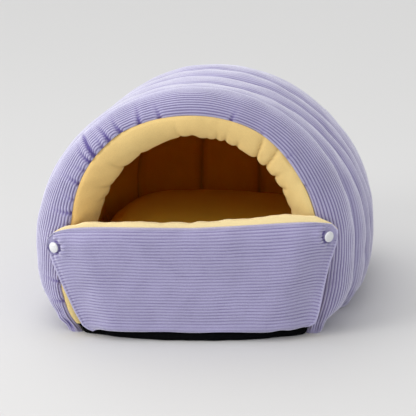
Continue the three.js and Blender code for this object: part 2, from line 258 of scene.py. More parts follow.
def arch_outline(share, y, side, crown, shoulder):
    """Half the width and the height of the arch, for a layer so far outside its centre line."""
    far = np.abs(share)
    angle = np.radians(90 * np.minimum(far / LEG_SHARE, 1))
    height = ARCH_WIDEST * np.clip(1 - (far - LEG_SHARE) / (1 - LEG_SHARE), 0, 1)
    less = shoulder * np.sin(angle) ** 2 * np.cos(angle)
    outside = np.clip(side / ROLL_SIDE, 0, 1) ** 2
    inset = mix(
        foot_inset(16, 2.2, 30, 75, height, outside),
        foot_inset(20, 3.5, 11, 45, height, outside),
        smoothstep(y, ROLL_DEPTH, WALL_START),
    )
    on_leg = far > LEG_SHARE
    half = np.where(on_leg, ARCH_HALF + side - inset, (ARCH_HALF + side - less) * np.sin(angle))
    rise = ARCH_CROWN + crown - less - ARCH_WIDEST
    return half, np.where(on_leg, height, ARCH_WIDEST + rise * np.cos(angle))


def arch(share, y, side, crown, shoulder):
    half, z = arch_outline(share, y, side, crown, shoulder)
    return placed(np.sign(share) * half, y, z)


print("tunnel runs from", round(ROLL_BACK), "to", round(BODY_BACK), "mm")

# %% The seam between the two cloths, by share of the way round the arch and degrees round the roll
SEAM = [(-1, -12), (-0.93, 5), (-0.82, 11), (-0.59, -11), (-0.45, 3), (-0.38, 9), (-0.24, 16),
        (-0.05, 8), (0.22, 5), (0.42, -10), (0.58, -15), (0.92, -20), (1, -14)]
HALF_GAP = 0.15


def roll_points(share, degrees, gap):
    """Points round the fat roll at one place of the arch. The gap keeps the two cloths apart."""
    angle = np.radians(degrees)
    side = ROLL_SIDE * np.sin(angle) + gap
    crown = ROLL_CROWN * np.sin(angle) + gap
    return arch(share, ROLL_DEPTH * (1 - np.cos(angle)), side, crown, 0 * angle)


# %% [markdown]
# ## Building a stuffed piece from rows of points
#
# A stuffed tube of cloth is a sheet that closes on itself. Its points are laid out in rows, one row
# for each place along the arch, and each row runs once round the tube. The rows are joined by
# faces, and a flat face closes each end. A map of how far the stuffing pushes each point out is
# added along the surface, before any mesh is made.

# %% Meshes from rows
def spaced(points, count):
    """Points at even distances along a line of points."""
    steps = np.linalg.norm(np.diff(points, axis=0), axis=1)
    along = np.concatenate([[0], np.cumsum(steps)])
    wanted = np.linspace(0, along[-1], count)
    return np.stack([np.interp(wanted, along, points[:, axis]) for axis in range(3)], axis=1)


def surface_normals(grid, inner=None):
    """Directions square to a sheet of points, away from its inner side. A tube has itself as inner."""
    if inner is None:
        along = np.roll(grid, -1, axis=1) - np.roll(grid, 1, axis=1)
        outward = grid - grid.mean(axis=1, keepdims=True)
    else:
        along = np.gradient(grid, axis=1)
        outward = grid - inner
    normals = np.cross(np.gradient(grid, axis=0), along)
    normals /= np.maximum(np.linalg.norm(normals, axis=-1, keepdims=True), 1e-9)
    return normals * np.sign((normals * outward).sum())


def stuffed(grid, puff):
    """Pushes the outer cloth of a tube out along its normals, and leaves the hidden side in place.

    The cloth's first edge takes its direction from the cloth beside it.
    """
    last = puff.shape[1] - 1
    normals = surface_normals(grid)
    normals[:, 0] = normals[:, 1]
    lift = np.zeros(grid.shape[:2])
    lift[:, :last] = puff[:, :last]
    return grid + normals * lift[..., None]


def finished(mesh, corner=math.radians(50)):
    """Merges doubled points, turns all faces outwards, and leaves only real corners sharp."""
    shape = bmesh.new()
    shape.from_mesh(mesh)
    bmesh.ops.remove_doubles(shape, verts=shape.verts, dist=2e-6)
    bmesh.ops.dissolve_degenerate(shape, edges=shape.edges, dist=1e-7)
    bmesh.ops.recalc_face_normals(shape, faces=shape.faces)
    shape.to_mesh(mesh)
    shape.free()
    mesh.shade_smooth()
    mesh.set_sharp_from_angle(angle=corner)
    return mesh


def add_marks(mesh, marks):
    for name, values in marks.items():
        mark = mesh.attributes.new(name, "FLOAT", "POINT")
        mark.data.foreach_set("value", np.asarray(values, float).ravel())


def add_piece(name, mesh):
    piece = bpy.data.objects.new(name, mesh)
    bpy.context.scene.collection.objects.link(piece)
    return piece


def sew_tube(name, rows, marks):
    """A closed piece from rows that each run once round it."""
    count, size = rows.shape[:2]
    number = np.arange(count * size).reshape(count, size)
    ahead = np.roll(number, -1, axis=1)
    sides = np.stack([number[:-1], ahead[:-1], ahead[1:], number[1:]], axis=-1).reshape(-1, 4)
    faces = sides.tolist() + [number[0].tolist(), number[-1][::-1].tolist()]
    mesh = bpy.data.meshes.new(name)
    mesh.from_pydata(to_frame(rows.reshape(-1, 3)).tolist(), [], faces)
    add_marks(mesh, marks)
    return add_piece(name, finished(mesh))


def sew_quilt(name, front, back, marks):
    """A closed piece from two sheets of points that share their edges."""
    count, size = front.shape[:2]
    number = np.arange(2 * count * size).reshape(2, count, size)
    faces = []
    for side, turn in ((0, 1), (1, -1)):
        part = number[side]
        quads = np.stack([part[:-1, :-1], part[:-1, 1:], part[1:, 1:], part[1:, :-1]], axis=-1)
        faces += quads.reshape(-1, 4)[:, ::turn].tolist()
    rims = [(number[:, 0, :], 1), (number[:, -1, :], -1), (number[:, :, 0], -1), (number[:, :, -1], 1)]
    for rim, turn in rims:
        strip = np.stack([rim[0, 1:], rim[0, :-1], rim[1, :-1], rim[1, 1:]], axis=-1)
        faces += strip[:, ::turn].tolist()
    mesh = bpy.data.meshes.new(name)
    points = np.concatenate([front.reshape(-1, 3), back.reshape(-1, 3)])
    mesh.from_pydata(to_frame(points).tolist(), [], faces)
    add_marks(mesh, {key: np.concatenate([np.ravel(a), np.ravel(b)]) for key, (a, b) in marks.items()})
    return add_piece(name, finished(mesh))


# %% [markdown]
# ## Stuffing is never even
#
# Loose fibre makes soft swells of a hand's width, and each place where the cloth was gathered into
# a seam makes a short valley that starts at the seam. The swells are a few waves with fixed
# random directions. The valleys are narrow bells, placed where the bed has them. Each stitched
# groove is tugged in a little more at every few stitches.

# %% Swells and gathers
def swells(u, v, length, seed, waves=7):
    """Soft waves over a surface measured by u and v in millimetres, from about -1 to 1."""
    draw = np.random.default_rng(seed)
    total = np.zeros(np.broadcast(u, v).shape)
    for _ in range(waves):
        turn, phase = draw.uniform(0, 2 * math.pi, 2)
        stretch = length * draw.uniform(0.7, 1.5)
        total = total + np.sin((u * math.cos(turn) + v * math.sin(turn)) * 2 * math.pi / stretch + phase)
    return total / math.sqrt(waves)


def bell(value, width):
    return np.exp(-(value / width) ** 2)


def tugs(along, pitch, drift, shift=0, sway=2, phase=0):
    """The pulls of the stitches along a seam, from 0 to 1, at a pitch that drifts."""
    return 0.5 + 0.5 * np.sin(along / pitch + sway * np.sin(along / drift + shift) + phase)


# %% [markdown]
# ## The outer shell
#
# The shell's wales run round the arch, along the cloth's length. Its rows are measured so that four
# points fall on every wale of the roll and three on every wale of the hoops, and a mark called wale
# counts them across the cloth. The rows stand closer where the cloth is gathered. The wales
# themselves are raised later by one node tree, which all three corduroy pieces share.

# %% The shell's section
WALE_POINTS = 4
HOOP_WALE_POINTS = 3
ROLL_WALES = 25
HOOP_WALES = 14
ROLL_COLUMNS = ROLL_WALES * WALE_POINTS
HOOP_COLUMNS = HOOP_WALES * HOOP_WALE_POINTS
GROOVE_COLUMNS = ROLL_COLUMNS + HOOP_COLUMNS * np.arange(HOOPS + 1)
OUTSIDE_POINTS = GROOVE_COLUMNS[-1] + 1
CRESTS = [(56, 28, 10), (58, 28, 12), (58, 30, 18), (57, 30, 20), (56, 20, 20)]
GROOVE = 12.5
MIDDLE = (30, 0, 16)


def crest_values(y):
    """How far the hoops' crests stand outside the arch at each depth: side, crown and shoulder."""
    centres = [ROLL_BACK + HOOP_PITCH * (index + 0.5) for index in range(HOOPS)]
    return [np.interp(y, centres, column) for column in zip(*CRESTS)]


def hoop_line(share, index):
    """The top of one hoop, from one stitched groove to the next."""
    turn = np.linspace(0, math.pi, 61)
    flat = 1 - np.sin(turn) ** 0.8
    y = ROLL_BACK + HOOP_PITCH * (index + (1 - np.cos(turn)) / 2)
    side, crown, shoulder = crest_values(y)
    side_dip, crown_dip = np.full_like(turn, GROOVE), np.full_like(turn, GROOVE)
    if index == 0:
        first = turn < math.pi / 2
        edge = math.sin(math.radians(ROLL_TURN))
        side_dip[first] = CRESTS[0][0] - ROLL_SIDE * edge
        crown_dip[first] = CRESTS[0][1] - ROLL_CROWN * edge
        shoulder = np.where(first, shoulder * (1 - flat), shoulder)
    return arch(share, y, side - side_dip * flat, crown - crown_dip * flat, shoulder)


def middle_line(share, gap):
    """The hidden surface between the shell and the lining, from the back to the front."""
    y = np.array([BODY_BACK, 260, 190, WALL_START, ROLL_BACK, 55, ROLL_DEPTH])
    side, crown, shoulder = (np.interp(y, [ROLL_DEPTH, ROLL_BACK, WALL_START], column)
                             for column in zip((0, 0, 0), (4, 2, 0), MIDDLE))
    return arch(share, y, side + gap, crown + gap, shoulder)


def roll_cloth(share, last, gap, count):
    """The roll's cloth from the seam round to a last angle, at even distances."""
    seam = from_table(SEAM, share, 0.02)
    return spaced(roll_points(share, np.linspace(seam, last, 121), gap), count)


def shell_row(share):
    lines = [roll_cloth(share, ROLL_TURN, HALF_GAP, ROLL_COLUMNS + 1)]
    for index in range(HOOPS):
        lines.append(spaced(hoop_line(share, index), HOOP_COLUMNS + 1)[1:])
    return np.concatenate(lines + [middle_line(share, HALF_GAP)])


SHELL_ROWS = 299


def crowded_shares(count, low, high, extra):
    """Places round the arch, closer together between low and high."""
    share = np.linspace(-1, 1, 4001)
    crowd = 1 + extra * smoothstep(share, low - 0.08, low) * (1 - smoothstep(share, high, high + 0.08))
    along = np.cumsum(crowd) - crowd[0]
    return np.interp(np.linspace(0, along[-1], count), along, share)


shell_shares = crowded_shares(SHELL_ROWS, -0.70, 0.18, 0.6)
shell_grid = np.stack([shell_row(share) for share in shell_shares])
print("shell:", shell_grid.shape[0], "rows of", shell_grid.shape[1], "points")

# %% Gathers at the shell's seam: place round the arch, depth and reach across the cloth, in mm
SEAM_GATHERS = [(-0.88, 2.4, 14), (-0.80, 2.6, 16), (-0.72, 1.6, 12), (-0.65, 1.6, 14), (-0.60, 1.2, 10),
                (-0.553, 3.2, 12), (-0.505, 1.4, 10), (-0.457, 3.2, 12), (-0.41, 1.6, 12), (-0.368, 4.2, 14),
                (-0.343, 5.6, 34), (-0.313, 2.4, 10), (-0.287, 4.4, 17), (-0.238, 4.2, 12), (-0.172, 4.2, 12),
                (-0.115, 3.2, 10), (0.121, 3.0, 8), (0.22, 1.2, 8), (0.33, 1.4, 9), (0.45, 1.2, 8),
                (0.62, 1.2, 12), (0.80, 1.6, 14)]
GATHER_KINK = 0.22
# How strongly shade is painted in the gathers and on the right-hand hoops.
GATHER_SHADE = 0.42
HOOP_SHADE = 0.14
ARCH_LENGTH = 465


def distances(grid):
    """Distance of each point across the cloth from the first one of its row."""
    steps = np.linalg.norm(np.diff(grid, axis=1), axis=2)
    return np.concatenate([np.zeros((len(grid), 1)), np.cumsum(steps, axis=1)], axis=1)


def gather_distance(along, across, place):
    """Distance in mm from the line of one gather, which wanders a little on its way from the seam."""
    return along - place * ARCH_LENGTH - 2.5 * np.sin(across / 13 + place * 40)


def foot_crumple(across, along):
    """The small slack folds of the cloth above its foot, from about -1.6 to 1.6."""
    return np.sin(across / 3.4 + 1.5 * np.sin(across / 13)) + 0.6 * np.sin(along / 4.1 + across / 9)


def shell_padding(grid, shares):
    """How far each point of the outer cloth is pushed out by the stuffing, in mm."""
    across = distances(grid[:, :OUTSIDE_POINTS])
    along = shares[:, None] * ARCH_LENGTH
    on_hoops = smoothstep(np.arange(OUTSIDE_POINTS), 0.7 * ROLL_COLUMNS, ROLL_COLUMNS)
    puff = mix(1.1, 0.5, on_hoops) * swells(along, across, 95, 11) + 0.35 * swells(along, across, 30, 12)
    puff -= 1.8 * bell(across, 3.0)
    for place, depth, reach in SEAM_GATHERS:
        from_fold = gather_distance(along, across, place)
        valley = bell(from_fold, 2.8) - 0.45 * bell(from_fold, 9)
        puff -= depth * valley * np.exp(-across / reach)
    for groove, column in enumerate(GROOVE_COLUMNS):
        tug = tugs(along, 5.3, 31, groove, sway=3, phase=groove * 2)
        puff -= bell(across - across[:, [column]], 5.5) * (2.6 + 0.6 * tug)
    low = smoothstep(np.abs(shares)[:, None], 0.87, 0.98)
    crumple = foot_crumple(across, along)
    at_mouth = mix(1.5, 2.6, (shares < 0)[:, None] * (1 - smoothstep(across, 40, 90)))
    puff += low * at_mouth * crumple * smoothstep(across, 0, 10)
    return puff * (1 - smoothstep(np.abs(shares)[:, None], 0.99, 1.0))


def tucked_feet(grid, shares):
    """How far the roll's outside is drawn inwards just above its two feet, in mm along X."""
    across = distances(grid[:, :OUTSIDE_POINTS])
    outside = smoothstep(across, 8, 45) * (1 - smoothstep(across, 75, 130))
    low = 10 * smoothstep(-shares, 0.89, 1.0) - 8 * smoothstep(shares, 0.89, 1.0)
    return low[:, None] * outside


def shell_marks(grid, shares):
    """The wale count across the cloth, how high the wales stand, which also sets how dark their grooves are
    painted, and the painted shade in the gathers, on the right-hand hoops and in the slack folds above the left
    foot.
    """
    across = distances(grid[:, :OUTSIDE_POINTS])
    along = shares[:, None] * ARCH_LENGTH
    column = np.arange(OUTSIDE_POINTS)
    count = np.interp(column, [0, *GROOVE_COLUMNS], [0, *(ROLL_WALES + HOOP_WALES * np.arange(HOOPS + 1))])
    kink, painted_shade = np.zeros(across.shape), np.zeros(across.shape)
    for place, depth, reach in SEAM_GATHERS:
        from_fold = gather_distance(along, across, place)
        near = np.exp(-across / reach)
        kink += GATHER_KINK * depth * bell(from_fold, 4) * near
        # Painted shade along the valley of each gather.
        painted_shade += GATHER_SHADE * depth * bell(from_fold, 2.6) * near
    height = np.minimum(smoothstep(column, 0, 2), smoothstep(OUTSIDE_POINTS - 1 - column, 0, 3))
    leftward = smoothstep(-shares, 0.02, 0.25)[:, None]
    height = height * mix(mix(1.6, 2.1, leftward), 0.6, smoothstep(across, 20, 95))
    for groove in GROOVE_COLUMNS[1:-1]:
        height = height * (1 - 0.8 * bell(column - groove, 2.5))
    height = height * (1 - smoothstep(np.abs(shares)[:, None], 0.97, 1.0))
    rightward = smoothstep(shares, 0.05, 0.4)[:, None]
    # Painted shade on the hoops of the right side, which face away from the light.
    painted_shade += HOOP_SHADE * rightward * smoothstep(column, *GROOVE_COLUMNS[:2])
    # Painted shade in the valleys of the slack folds above the left foot.
    slack = smoothstep(-shares, 0.89, 0.97)[:, None] * (1 - smoothstep(across, 40, 80))
    painted_shade += 0.9 * slack * np.clip(-foot_crumple(across, along), 0, 1)
    marks = {}
    for name, values in (("wale", count + kink), ("raised", height), ("painted_shade", painted_shade)):
        marks[name] = np.zeros(grid.shape[:2])
        marks[name][:, :OUTSIDE_POINTS] = values
    return marks


shell_grid = stuffed(shell_grid, shell_padding(shell_grid, shell_shares))
shell_grid[:, :OUTSIDE_POINTS, 0] += tucked_feet(shell_grid, shell_shares)
shell_grid[0, :, 2] = shell_grid[-1, :, 2] = 0
shell = sew_tube("outer_shell", shell_grid, shell_marks(shell_grid, shell_shares))
print("shell faces:", len(shell.data.polygons))

# %% [markdown]
# ## The lining
#
# The yellow plush meets the corduroy at the seam, rolls over into the mouth and goes on as the quilted
# inner wall. On the right its roll was gathered into the inner seam, so its edge is scalloped.

# %% The lining's section
LINING_ANGLE = -150
LINING_START = ROLL_DEPTH * (1 - math.cos(math.radians(LINING_ANGLE)))
INNER = (21, -9, 12)
ROLL_POINTS = 56
WALL_POINTS = 16


def wall_line(share):
    """The quilted inner wall, from the roll to the back."""
    edge = math.sin(math.radians(LINING_ANGLE))
    along = np.linspace(0, HOOPS, HOOPS * WALL_POINTS + 1)
    puff = 4 * np.abs(np.sin(math.pi * along))
    blend = smoothstep(along, 0, 0.75)
    y = mix(LINING_START, BODY_BACK, along / HOOPS)
    side = mix(ROLL_SIDE * edge, INNER[0], blend) - puff
    crown = mix(ROLL_CROWN * edge, INNER[1], blend) - puff
    return arch(share, y, side, crown, INNER[2] * blend)


def lining_row(share):
    roll = roll_cloth(share, LINING_ANGLE, -HALF_GAP, ROLL_POINTS + 1)
    return np.concatenate([roll, wall_line(share)[1:], middle_line(share, -HALF_GAP)])


LINING_ROWS = 260
lining_shares = np.linspace(-BASE_SHARE, BASE_SHARE, LINING_ROWS)
lining_grid = np.stack([lining_row(share) for share in lining_shares])
INSIDE_POINTS = ROLL_POINTS + 1 + HOOPS * WALL_POINTS
print("lining:", lining_grid.shape[0], "rows of", lining_grid.shape[1], "points")

# %% Creases across the roll: place at its inner edge and at the seam, depth and half width in mm, and start
CREASES = [(-0.66, -0.66, 1.0, 5, 0.3), (-0.49, -0.505, 1.6, 4, 0.2), (-0.435, -0.445, 2.0, 4.5, 0.1),
           (-0.335, -0.345, 2.4, 4.5, 0.1), (-0.24, -0.235, 1.6, 5, 0.2),
           (-0.06, -0.075, 1.6, 4, 0.05), (-0.011, -0.03, 3.2, 12, 0.2), (0.05, 0.045, 1.2, 4, 0.3),
           (0.088, 0.08, 1.6, 4, 0.1), (0.125, 0.11, 2.4, 4.5, 0.1), (0.178, 0.165, 2.2, 5, 0.1),
           (0.276, 0.232, 3.4, 3.6, -0.15), (0.328, 0.295, 3.4, 3.6, -0.2), (0.387, 0.36, 2.8, 4, 0.1),
           (0.445, 0.43, 2.4, 4, 0.15), (0.54, 0.53, 1.2, 5, 0.3), (0.66, 0.65, 1.0, 5, 0.3)]
# How dark the creases are painted, as painted shade.
PAINTED_CREASE_SHADE = 0.06
# How much shade is painted on the roll's legs, by share of the way round the arch. Below zero, light is painted
# instead.
LEG_PAINTED_LIGHT_AND_SHADE = [(-1, -0.3), (-0.8, -0.22), (-0.68, 0.2), (-0.5, 0.2), (-0.25, 0), (0.25, 0), (0.6, -0.2), (1, -0.3)]


def on_roll(column):
    return 1 - smoothstep(column, ROLL_POINTS, ROLL_POINTS + 8)


def creases(along, column, fade):
    """Each crease's depth and half width, the distance of each point from it, and its reach over the roll."""
    share = column / ROLL_POINTS
    for edge, seam, depth, width, start in CREASES:
        line = mix(seam, edge, np.clip(2 * share, 0, 1)) * ARCH_LENGTH
        yield depth, width, along - line, smoothstep(share, start, start + fade) * on_roll(column)


def lining_padding(grid, shares):
    """How far each point of the plush is pushed out by the stuffing, in mm."""
    across = distances(grid[:, :INSIDE_POINTS])
    along = shares[:, None] * ARCH_LENGTH
    column = np.arange(INSIDE_POINTS)
    inner = smoothstep(column / ROLL_POINTS, 0.12, 0.5) * on_roll(column)
    puff = 0.9 * swells(along, across, 80, 21) + 0.25 * swells(along, across, 26, 22)
    puff -= 1.5 * bell(across, 2.6)
    for depth, width, from_line, reach in creases(along, column, 0.35):
        puff -= depth * reach * (0.95 * bell(from_line, 0.9 * width) + 0.3 * bell(from_line, 2.2 * width))
    places, _, depths, _, _ = zip(*CREASES)
    swell = np.interp(shares, places, depths) * 0.25
    between = np.abs(np.sin(math.pi * np.interp(shares, places, np.arange(len(places)))))
    puff += (swell * between)[:, None] * inner
    return puff - bell(across - across[:, [ROLL_POINTS]], 6) * (1.0 + 1.2 * tugs(along, 4.6, 23))


def lining_marks(grid, shares):
    """How much cave shade is painted on the plush, and the painted shade in its creases.

    The deeper the plush lies in the cave, the darker and oranger it is painted. The roll's left leg is painted a
    little shaded too. Its foot and the right leg, which catch more light, are painted a little lighter than the
    lit colour.
    """
    depth = smoothstep(grid[..., 1], 45, 130)
    leg = from_table(LEG_PAINTED_LIGHT_AND_SHADE, shares)[:, None]
    painted_shade = np.zeros(grid.shape[:2])
    # Painted shade along each crease.
    for dip, _, from_line, reach in creases(shares[:, None] * ARCH_LENGTH, np.arange(grid.shape[1]), 0.3):
        painted_shade += PAINTED_CREASE_SHADE * dip * reach * bell(from_line, 1.9)
    return {"inside": np.where(depth > 0, np.maximum(depth, leg), leg), "painted_shade": painted_shade}


lining_marked = lining_marks(lining_grid, lining_shares)
lining_grid = stuffed(lining_grid, lining_padding(lining_grid, lining_shares))
lining_grid[[0, -1], :, 2] = ON_BASE
lining = sew_tube("inner_lining", lining_grid, lining_marked)
print("lining faces:", len(lining.data.polygons))

# %% [markdown]
# ## The rounded back
#
# The back is a shallow dome in five upright channels, quilted through both cloths. Seen through the
# mouth, its yellow side shows as padded panels whose seams lean in towards the crown.

# %% The dome
BACK_SEAMS = [-90, -46, -11, 11, 46, 90]
DOME_SQUARENESS = 2.4
DOME_CLIMB = 2.3
OUTER = (43, 7, 20, 125)
CLEARANCE = 0.4
MIDDLE_OF_CHANNEL = 28.0


def squared(turn):
    """Sine and cosine of an angle in degrees, for an outline squarer than an ellipse."""
    around = np.radians(turn)
    power = 2 / DOME_SQUARENESS
    return np.sign(around) * np.abs(np.sin(around)) ** power, np.abs(np.cos(around)) ** power


def dome(share, turn, layer, puff):
    """A layer of the dome by share of the way down its arch and by degrees round it."""
    side, crown, shoulder, depth = layer
    angle = np.radians(90 * np.minimum(share / LEG_SHARE, 1))
    height = ARCH_WIDEST * np.clip(1 - (share - LEG_SHARE) / (1 - LEG_SHARE), 0, 1)
    above = mix(1, ARCH_WIDEST / ARCH_CROWN, 1 - np.cos(angle))
    climb = np.where(share > LEG_SHARE, height / ARCH_CROWN, above)
    fullness = np.maximum(0, 1 - climb ** DOME_CLIMB) ** (1 / DOME_CLIMB)
    channel = np.interp(turn, BACK_SEAMS, range(len(BACK_SEAMS)))
    bulge = puff * np.abs(np.sin(math.pi * channel)) ** 0.8 * np.sqrt(fullness)
    half, z = arch_outline(share, BODY_BACK, side + bulge, crown + bulge, shoulder)
    sine, cosine = squared(turn)
    x = sine * half
    return placed(x, BODY_BACK + CLEARANCE + (depth + bulge) * cosine * fullness, z + 0 * x)


def dome_sheet(shares, turns, layer, puff):
    return dome(shares[:, None], turns[None, :], layer, puff)


def rounded_turns(count):
    """Degrees round the back at even distances along its squared outline."""
    turn = np.linspace(-90, 90, 721)
    sine, cosine = squared(turn)
    steps = np.hypot(np.diff(sine * (ARCH_HALF + OUTER[0])), np.diff(cosine * OUTER[3]))
    along = np.concatenate([[0], np.cumsum(steps)])
    return np.interp(np.linspace(0, along[-1], count), along, turn)


def even_shares(top, foot, count, layer):
    """Shares of the way down the back at even distances along its middle."""
    share = np.linspace(top, foot, 801)
    line = dome(share, np.full_like(share, MIDDLE_OF_CHANNEL), layer, 0)
    along = np.concatenate([[0], np.cumsum(np.linalg.norm(np.diff(line, axis=0), axis=1))])
    return np.interp(np.linspace(0, along[-1], count), along, share), along[-1]


def widened(layer, gap):
    side, crown, shoulder, depth = layer
    return side + gap, crown + gap, shoulder, depth + gap


def eased(shares, turns, top, foot, last):
    """From 0 at the rim of the back to 1 a little inside it."""
    ease = smoothstep(shares, 0, top)[:, None] * (1 - smoothstep(shares, foot, last))[:, None]
    return ease * smoothstep(90 - np.abs(turns), 0, 3)[None, :]


MIDDLE_DOME = (*MIDDLE, 105)
INNER_DOME = (*INNER, 85)
print("back seams at", BACK_SEAMS, "degrees")

# %% The corduroy side of the back, with level wales
BACK_WALES = 98
BACK_COLUMNS = 112
OUTER_DEGREE, INNER_DEGREE = 3.4, 2.8


def back_panel_piece():
    shares, length = even_shares(0.0, 1.0, BACK_WALES * WALE_POINTS + 1, OUTER)
    turns = rounded_turns(BACK_COLUMNS)
    outside = dome_sheet(shares, turns, OUTER, 8)
    inside = dome_sheet(shares, turns, widened(MIDDLE_DOME, HALF_GAP), 0)
    u, v = turns[None, :] * OUTER_DEGREE, shares[:, None] * length
    ease = eased(shares, turns, 0.1, 0.975, 1)
    padding = (1.2 * swells(u, v, 90, 31) + 0.4 * swells(u, v, 28, 32)) * ease
    for seam in BACK_SEAMS[1:-1]:
        from_seam = u - seam * OUTER_DEGREE
        padding -= bell(from_seam, 6) * (0.6 + 1.2 * tugs(v, 5, 27, seam)) * ease
    outside = outside + surface_normals(outside, inside) * padding[..., None]
    print("back panel:", len(shares), "rows,", round(length), "mm from crown to foot")
    wale = np.repeat(np.arange(len(shares))[:, None] / WALE_POINTS, len(turns), axis=1)
    raised = ease * smoothstep(shares, 0.02, 0.08)[:, None]
    nothing = np.zeros_like(wale)
    marks = {"wale": (wale, nothing), "raised": (raised, nothing)}
    return sew_quilt("back_panel_cloth", outside, inside, marks)


back_panel = back_panel_piece()

# %% The plush side of the back
def back_lining_piece():
    shares, length = even_shares(0.0, BASE_SHARE, 120, INNER_DOME)
    turns = rounded_turns(120)
    behind = dome_sheet(shares, turns, widened(MIDDLE_DOME, -HALF_GAP), 0)
    front = dome_sheet(shares, turns, INNER_DOME, -9)
    u, v = turns[None, :] * INNER_DEGREE, shares[:, None] * length
    ease = eased(shares, turns, 0.15, 0.93, BASE_SHARE)
    padding = 0.9 * swells(u, v, 75, 41) * ease
    painted_shade = np.zeros(front.shape[:2])
    for seam in BACK_SEAMS[1:-1]:
        from_seam = u - seam * INNER_DEGREE
        # Painted shade along each seam.
        painted_shade += 0.38 * bell(from_seam, 2.2) * ease
        padding -= bell(from_seam, 4.6) * (4.2 + 1.2 * tugs(v, 6, 31, seam)) * ease
    front = front + surface_normals(front, behind) * padding[..., None]
    # The whole back lining is painted with the full shade of the cave.
    inside = np.ones(front.shape[:2])
    print("back lining:", front.shape[0], "rows of", front.shape[1])
    marks = {"inside": (inside, inside), "painted_shade": (0 * painted_shade, painted_shade)}
    return sew_quilt("back_lining_cloth", behind, front, marks)


back_lining = back_lining_piece()

# %% [markdown]
# ## The loose cushion
#
# The cushion is filled and lies loose in the tunnel. Cloth simulation gives it the crown and the small
# tensions that a filled bag really has: the shape starts a little small, is divided evenly,
# and is blown up from inside for twenty steps with no gravity. The growth is capped, so it stays in
# the place of its solid.

# %% Cushion shape
CUSHION = {"half_width": 186, "half_depth": 151, "centre": 242, "offset": 4, "top": 116,
           "squareness": 3.2, "edge": 2.7}


def rounded(value, squareness):
    return np.sign(value) * np.abs(value) ** (2 / squareness)


def cushion_rows(smaller):
    lift = np.radians(np.linspace(-86, 86, 31))[:, None]
    turn = np.linspace(0, 2 * math.pi, 97)[:-1][None, :]
    scale = rounded(np.cos(lift), CUSHION["edge"])
    middle = (ON_BASE + CUSHION["top"]) / 2
    z = middle + (CUSHION["top"] - middle - smaller) * rounded(np.sin(lift), CUSHION["edge"]) + 0 * turn
    x = (CUSHION["half_width"] - smaller) * scale * rounded(np.cos(turn), CUSHION["squareness"])
    y = (CUSHION["half_depth"] - smaller) * scale * rounded(np.sin(turn), CUSHION["squareness"])
    return placed(x - CUSHION["offset"], CUSHION["centre"] + y, z)


def apply_modifiers(piece):
    """Makes what a piece's modifiers show its own plain mesh."""
    graph = bpy.context.evaluated_depsgraph_get()
    piece.data = bpy.data.meshes.new_from_object(piece.evaluated_get(graph))
    piece.modifiers.clear()
    return piece.data


def blow_up(piece, voxel, pressure, cap):
    """Divides a piece evenly and lets cloth simulation fill it, moving no point further than cap."""
    remesh = piece.modifiers.new("even cells", "REMESH")
    remesh.mode = "VOXEL"
    remesh.voxel_size = voxel
    start = np.array([vertex.co for vertex in apply_modifiers(piece).vertices])
    cloth = piece.modifiers.new("filled cloth", "CLOTH")
    cloth.settings.use_pressure = True
    cloth.settings.uniform_pressure_force = pressure
    cloth.settings.effector_weights.gravity = 0
    cloth.settings.quality = 6
    cloth.settings.tension_stiffness = cloth.settings.compression_stiffness = 20
    scene = bpy.context.scene
    for step in range(1, 21):
        scene.frame_set(step)
    filled = apply_modifiers(piece)
    moved = np.array([vertex.co for vertex in filled.vertices]) - start
    far = np.linalg.norm(moved, axis=1, keepdims=True)
    held = start + moved * np.minimum(1, cap / np.maximum(far, 1e-9))
    filled.vertices.foreach_set("co", held.ravel())
    scene.frame_set(1)
    print(piece.name, "swelled by up to", round(float(far.max()) * 1000, 1), "mm")
    smooth = piece.modifiers.new("finer", "SUBSURF")
    smooth.levels = smooth.render_levels = 1
    apply_modifiers(piece).shade_smooth()


cushion = sew_tube("loose_cushion", cushion_rows(smaller=5), {})
blow_up(cushion, voxel=0.007, pressure=4, cap=0.006)
print("cushion faces:", len(cushion.data.polygons))

# %% [markdown]
# ## The flap
#
# The flap is a flat quilted panel, folded up over the lower mouth. Its corduroy has level wales, its
# yellow lining stands a little above the corduroy's hem, and each upper corner is a tab with a snap.

# %% The flap's shape
FLAP_HEIGHT = 159
FLAP_WIDTHS = [(0, 145), (0.02, 152), (0.06, 159), (0.2, 168), (0.48, 182), (0.7, 192), (0.86, 197),
               (0.94, 196), (1, 187)]
FLAP_RIGHT_BOW = [(0, 3.5), (0.1, 3), (0.21, 0.8), (0.38, -2.4), (0.54, -4), (0.66, -4.2), (0.77, -1.5),
                  (0.86, 0), (1, 3)]
FLAP_FOOT = 145
FLAP_WIDEST = 197
FLAP_HEM = 2
FLAP_PUFF = 10


def flap_reach(x, z):
    """How far forward the middle of the flap stands, between the two cloths."""
    up = np.maximum(0, (z - ON_BASE) / (FLAP_HEIGHT - ON_BASE))
    wide = np.abs(x) / FLAP_WIDEST
    low = np.minimum(1, np.abs(x) / FLAP_FOOT)
    bottom = 7 * low ** 2.6 - 23
    top = 9 * wide ** 3 - 17
    return mix(bottom, top, np.sqrt(up)) + 4 * np.minimum(1, wide) ** 16 * up ** 6


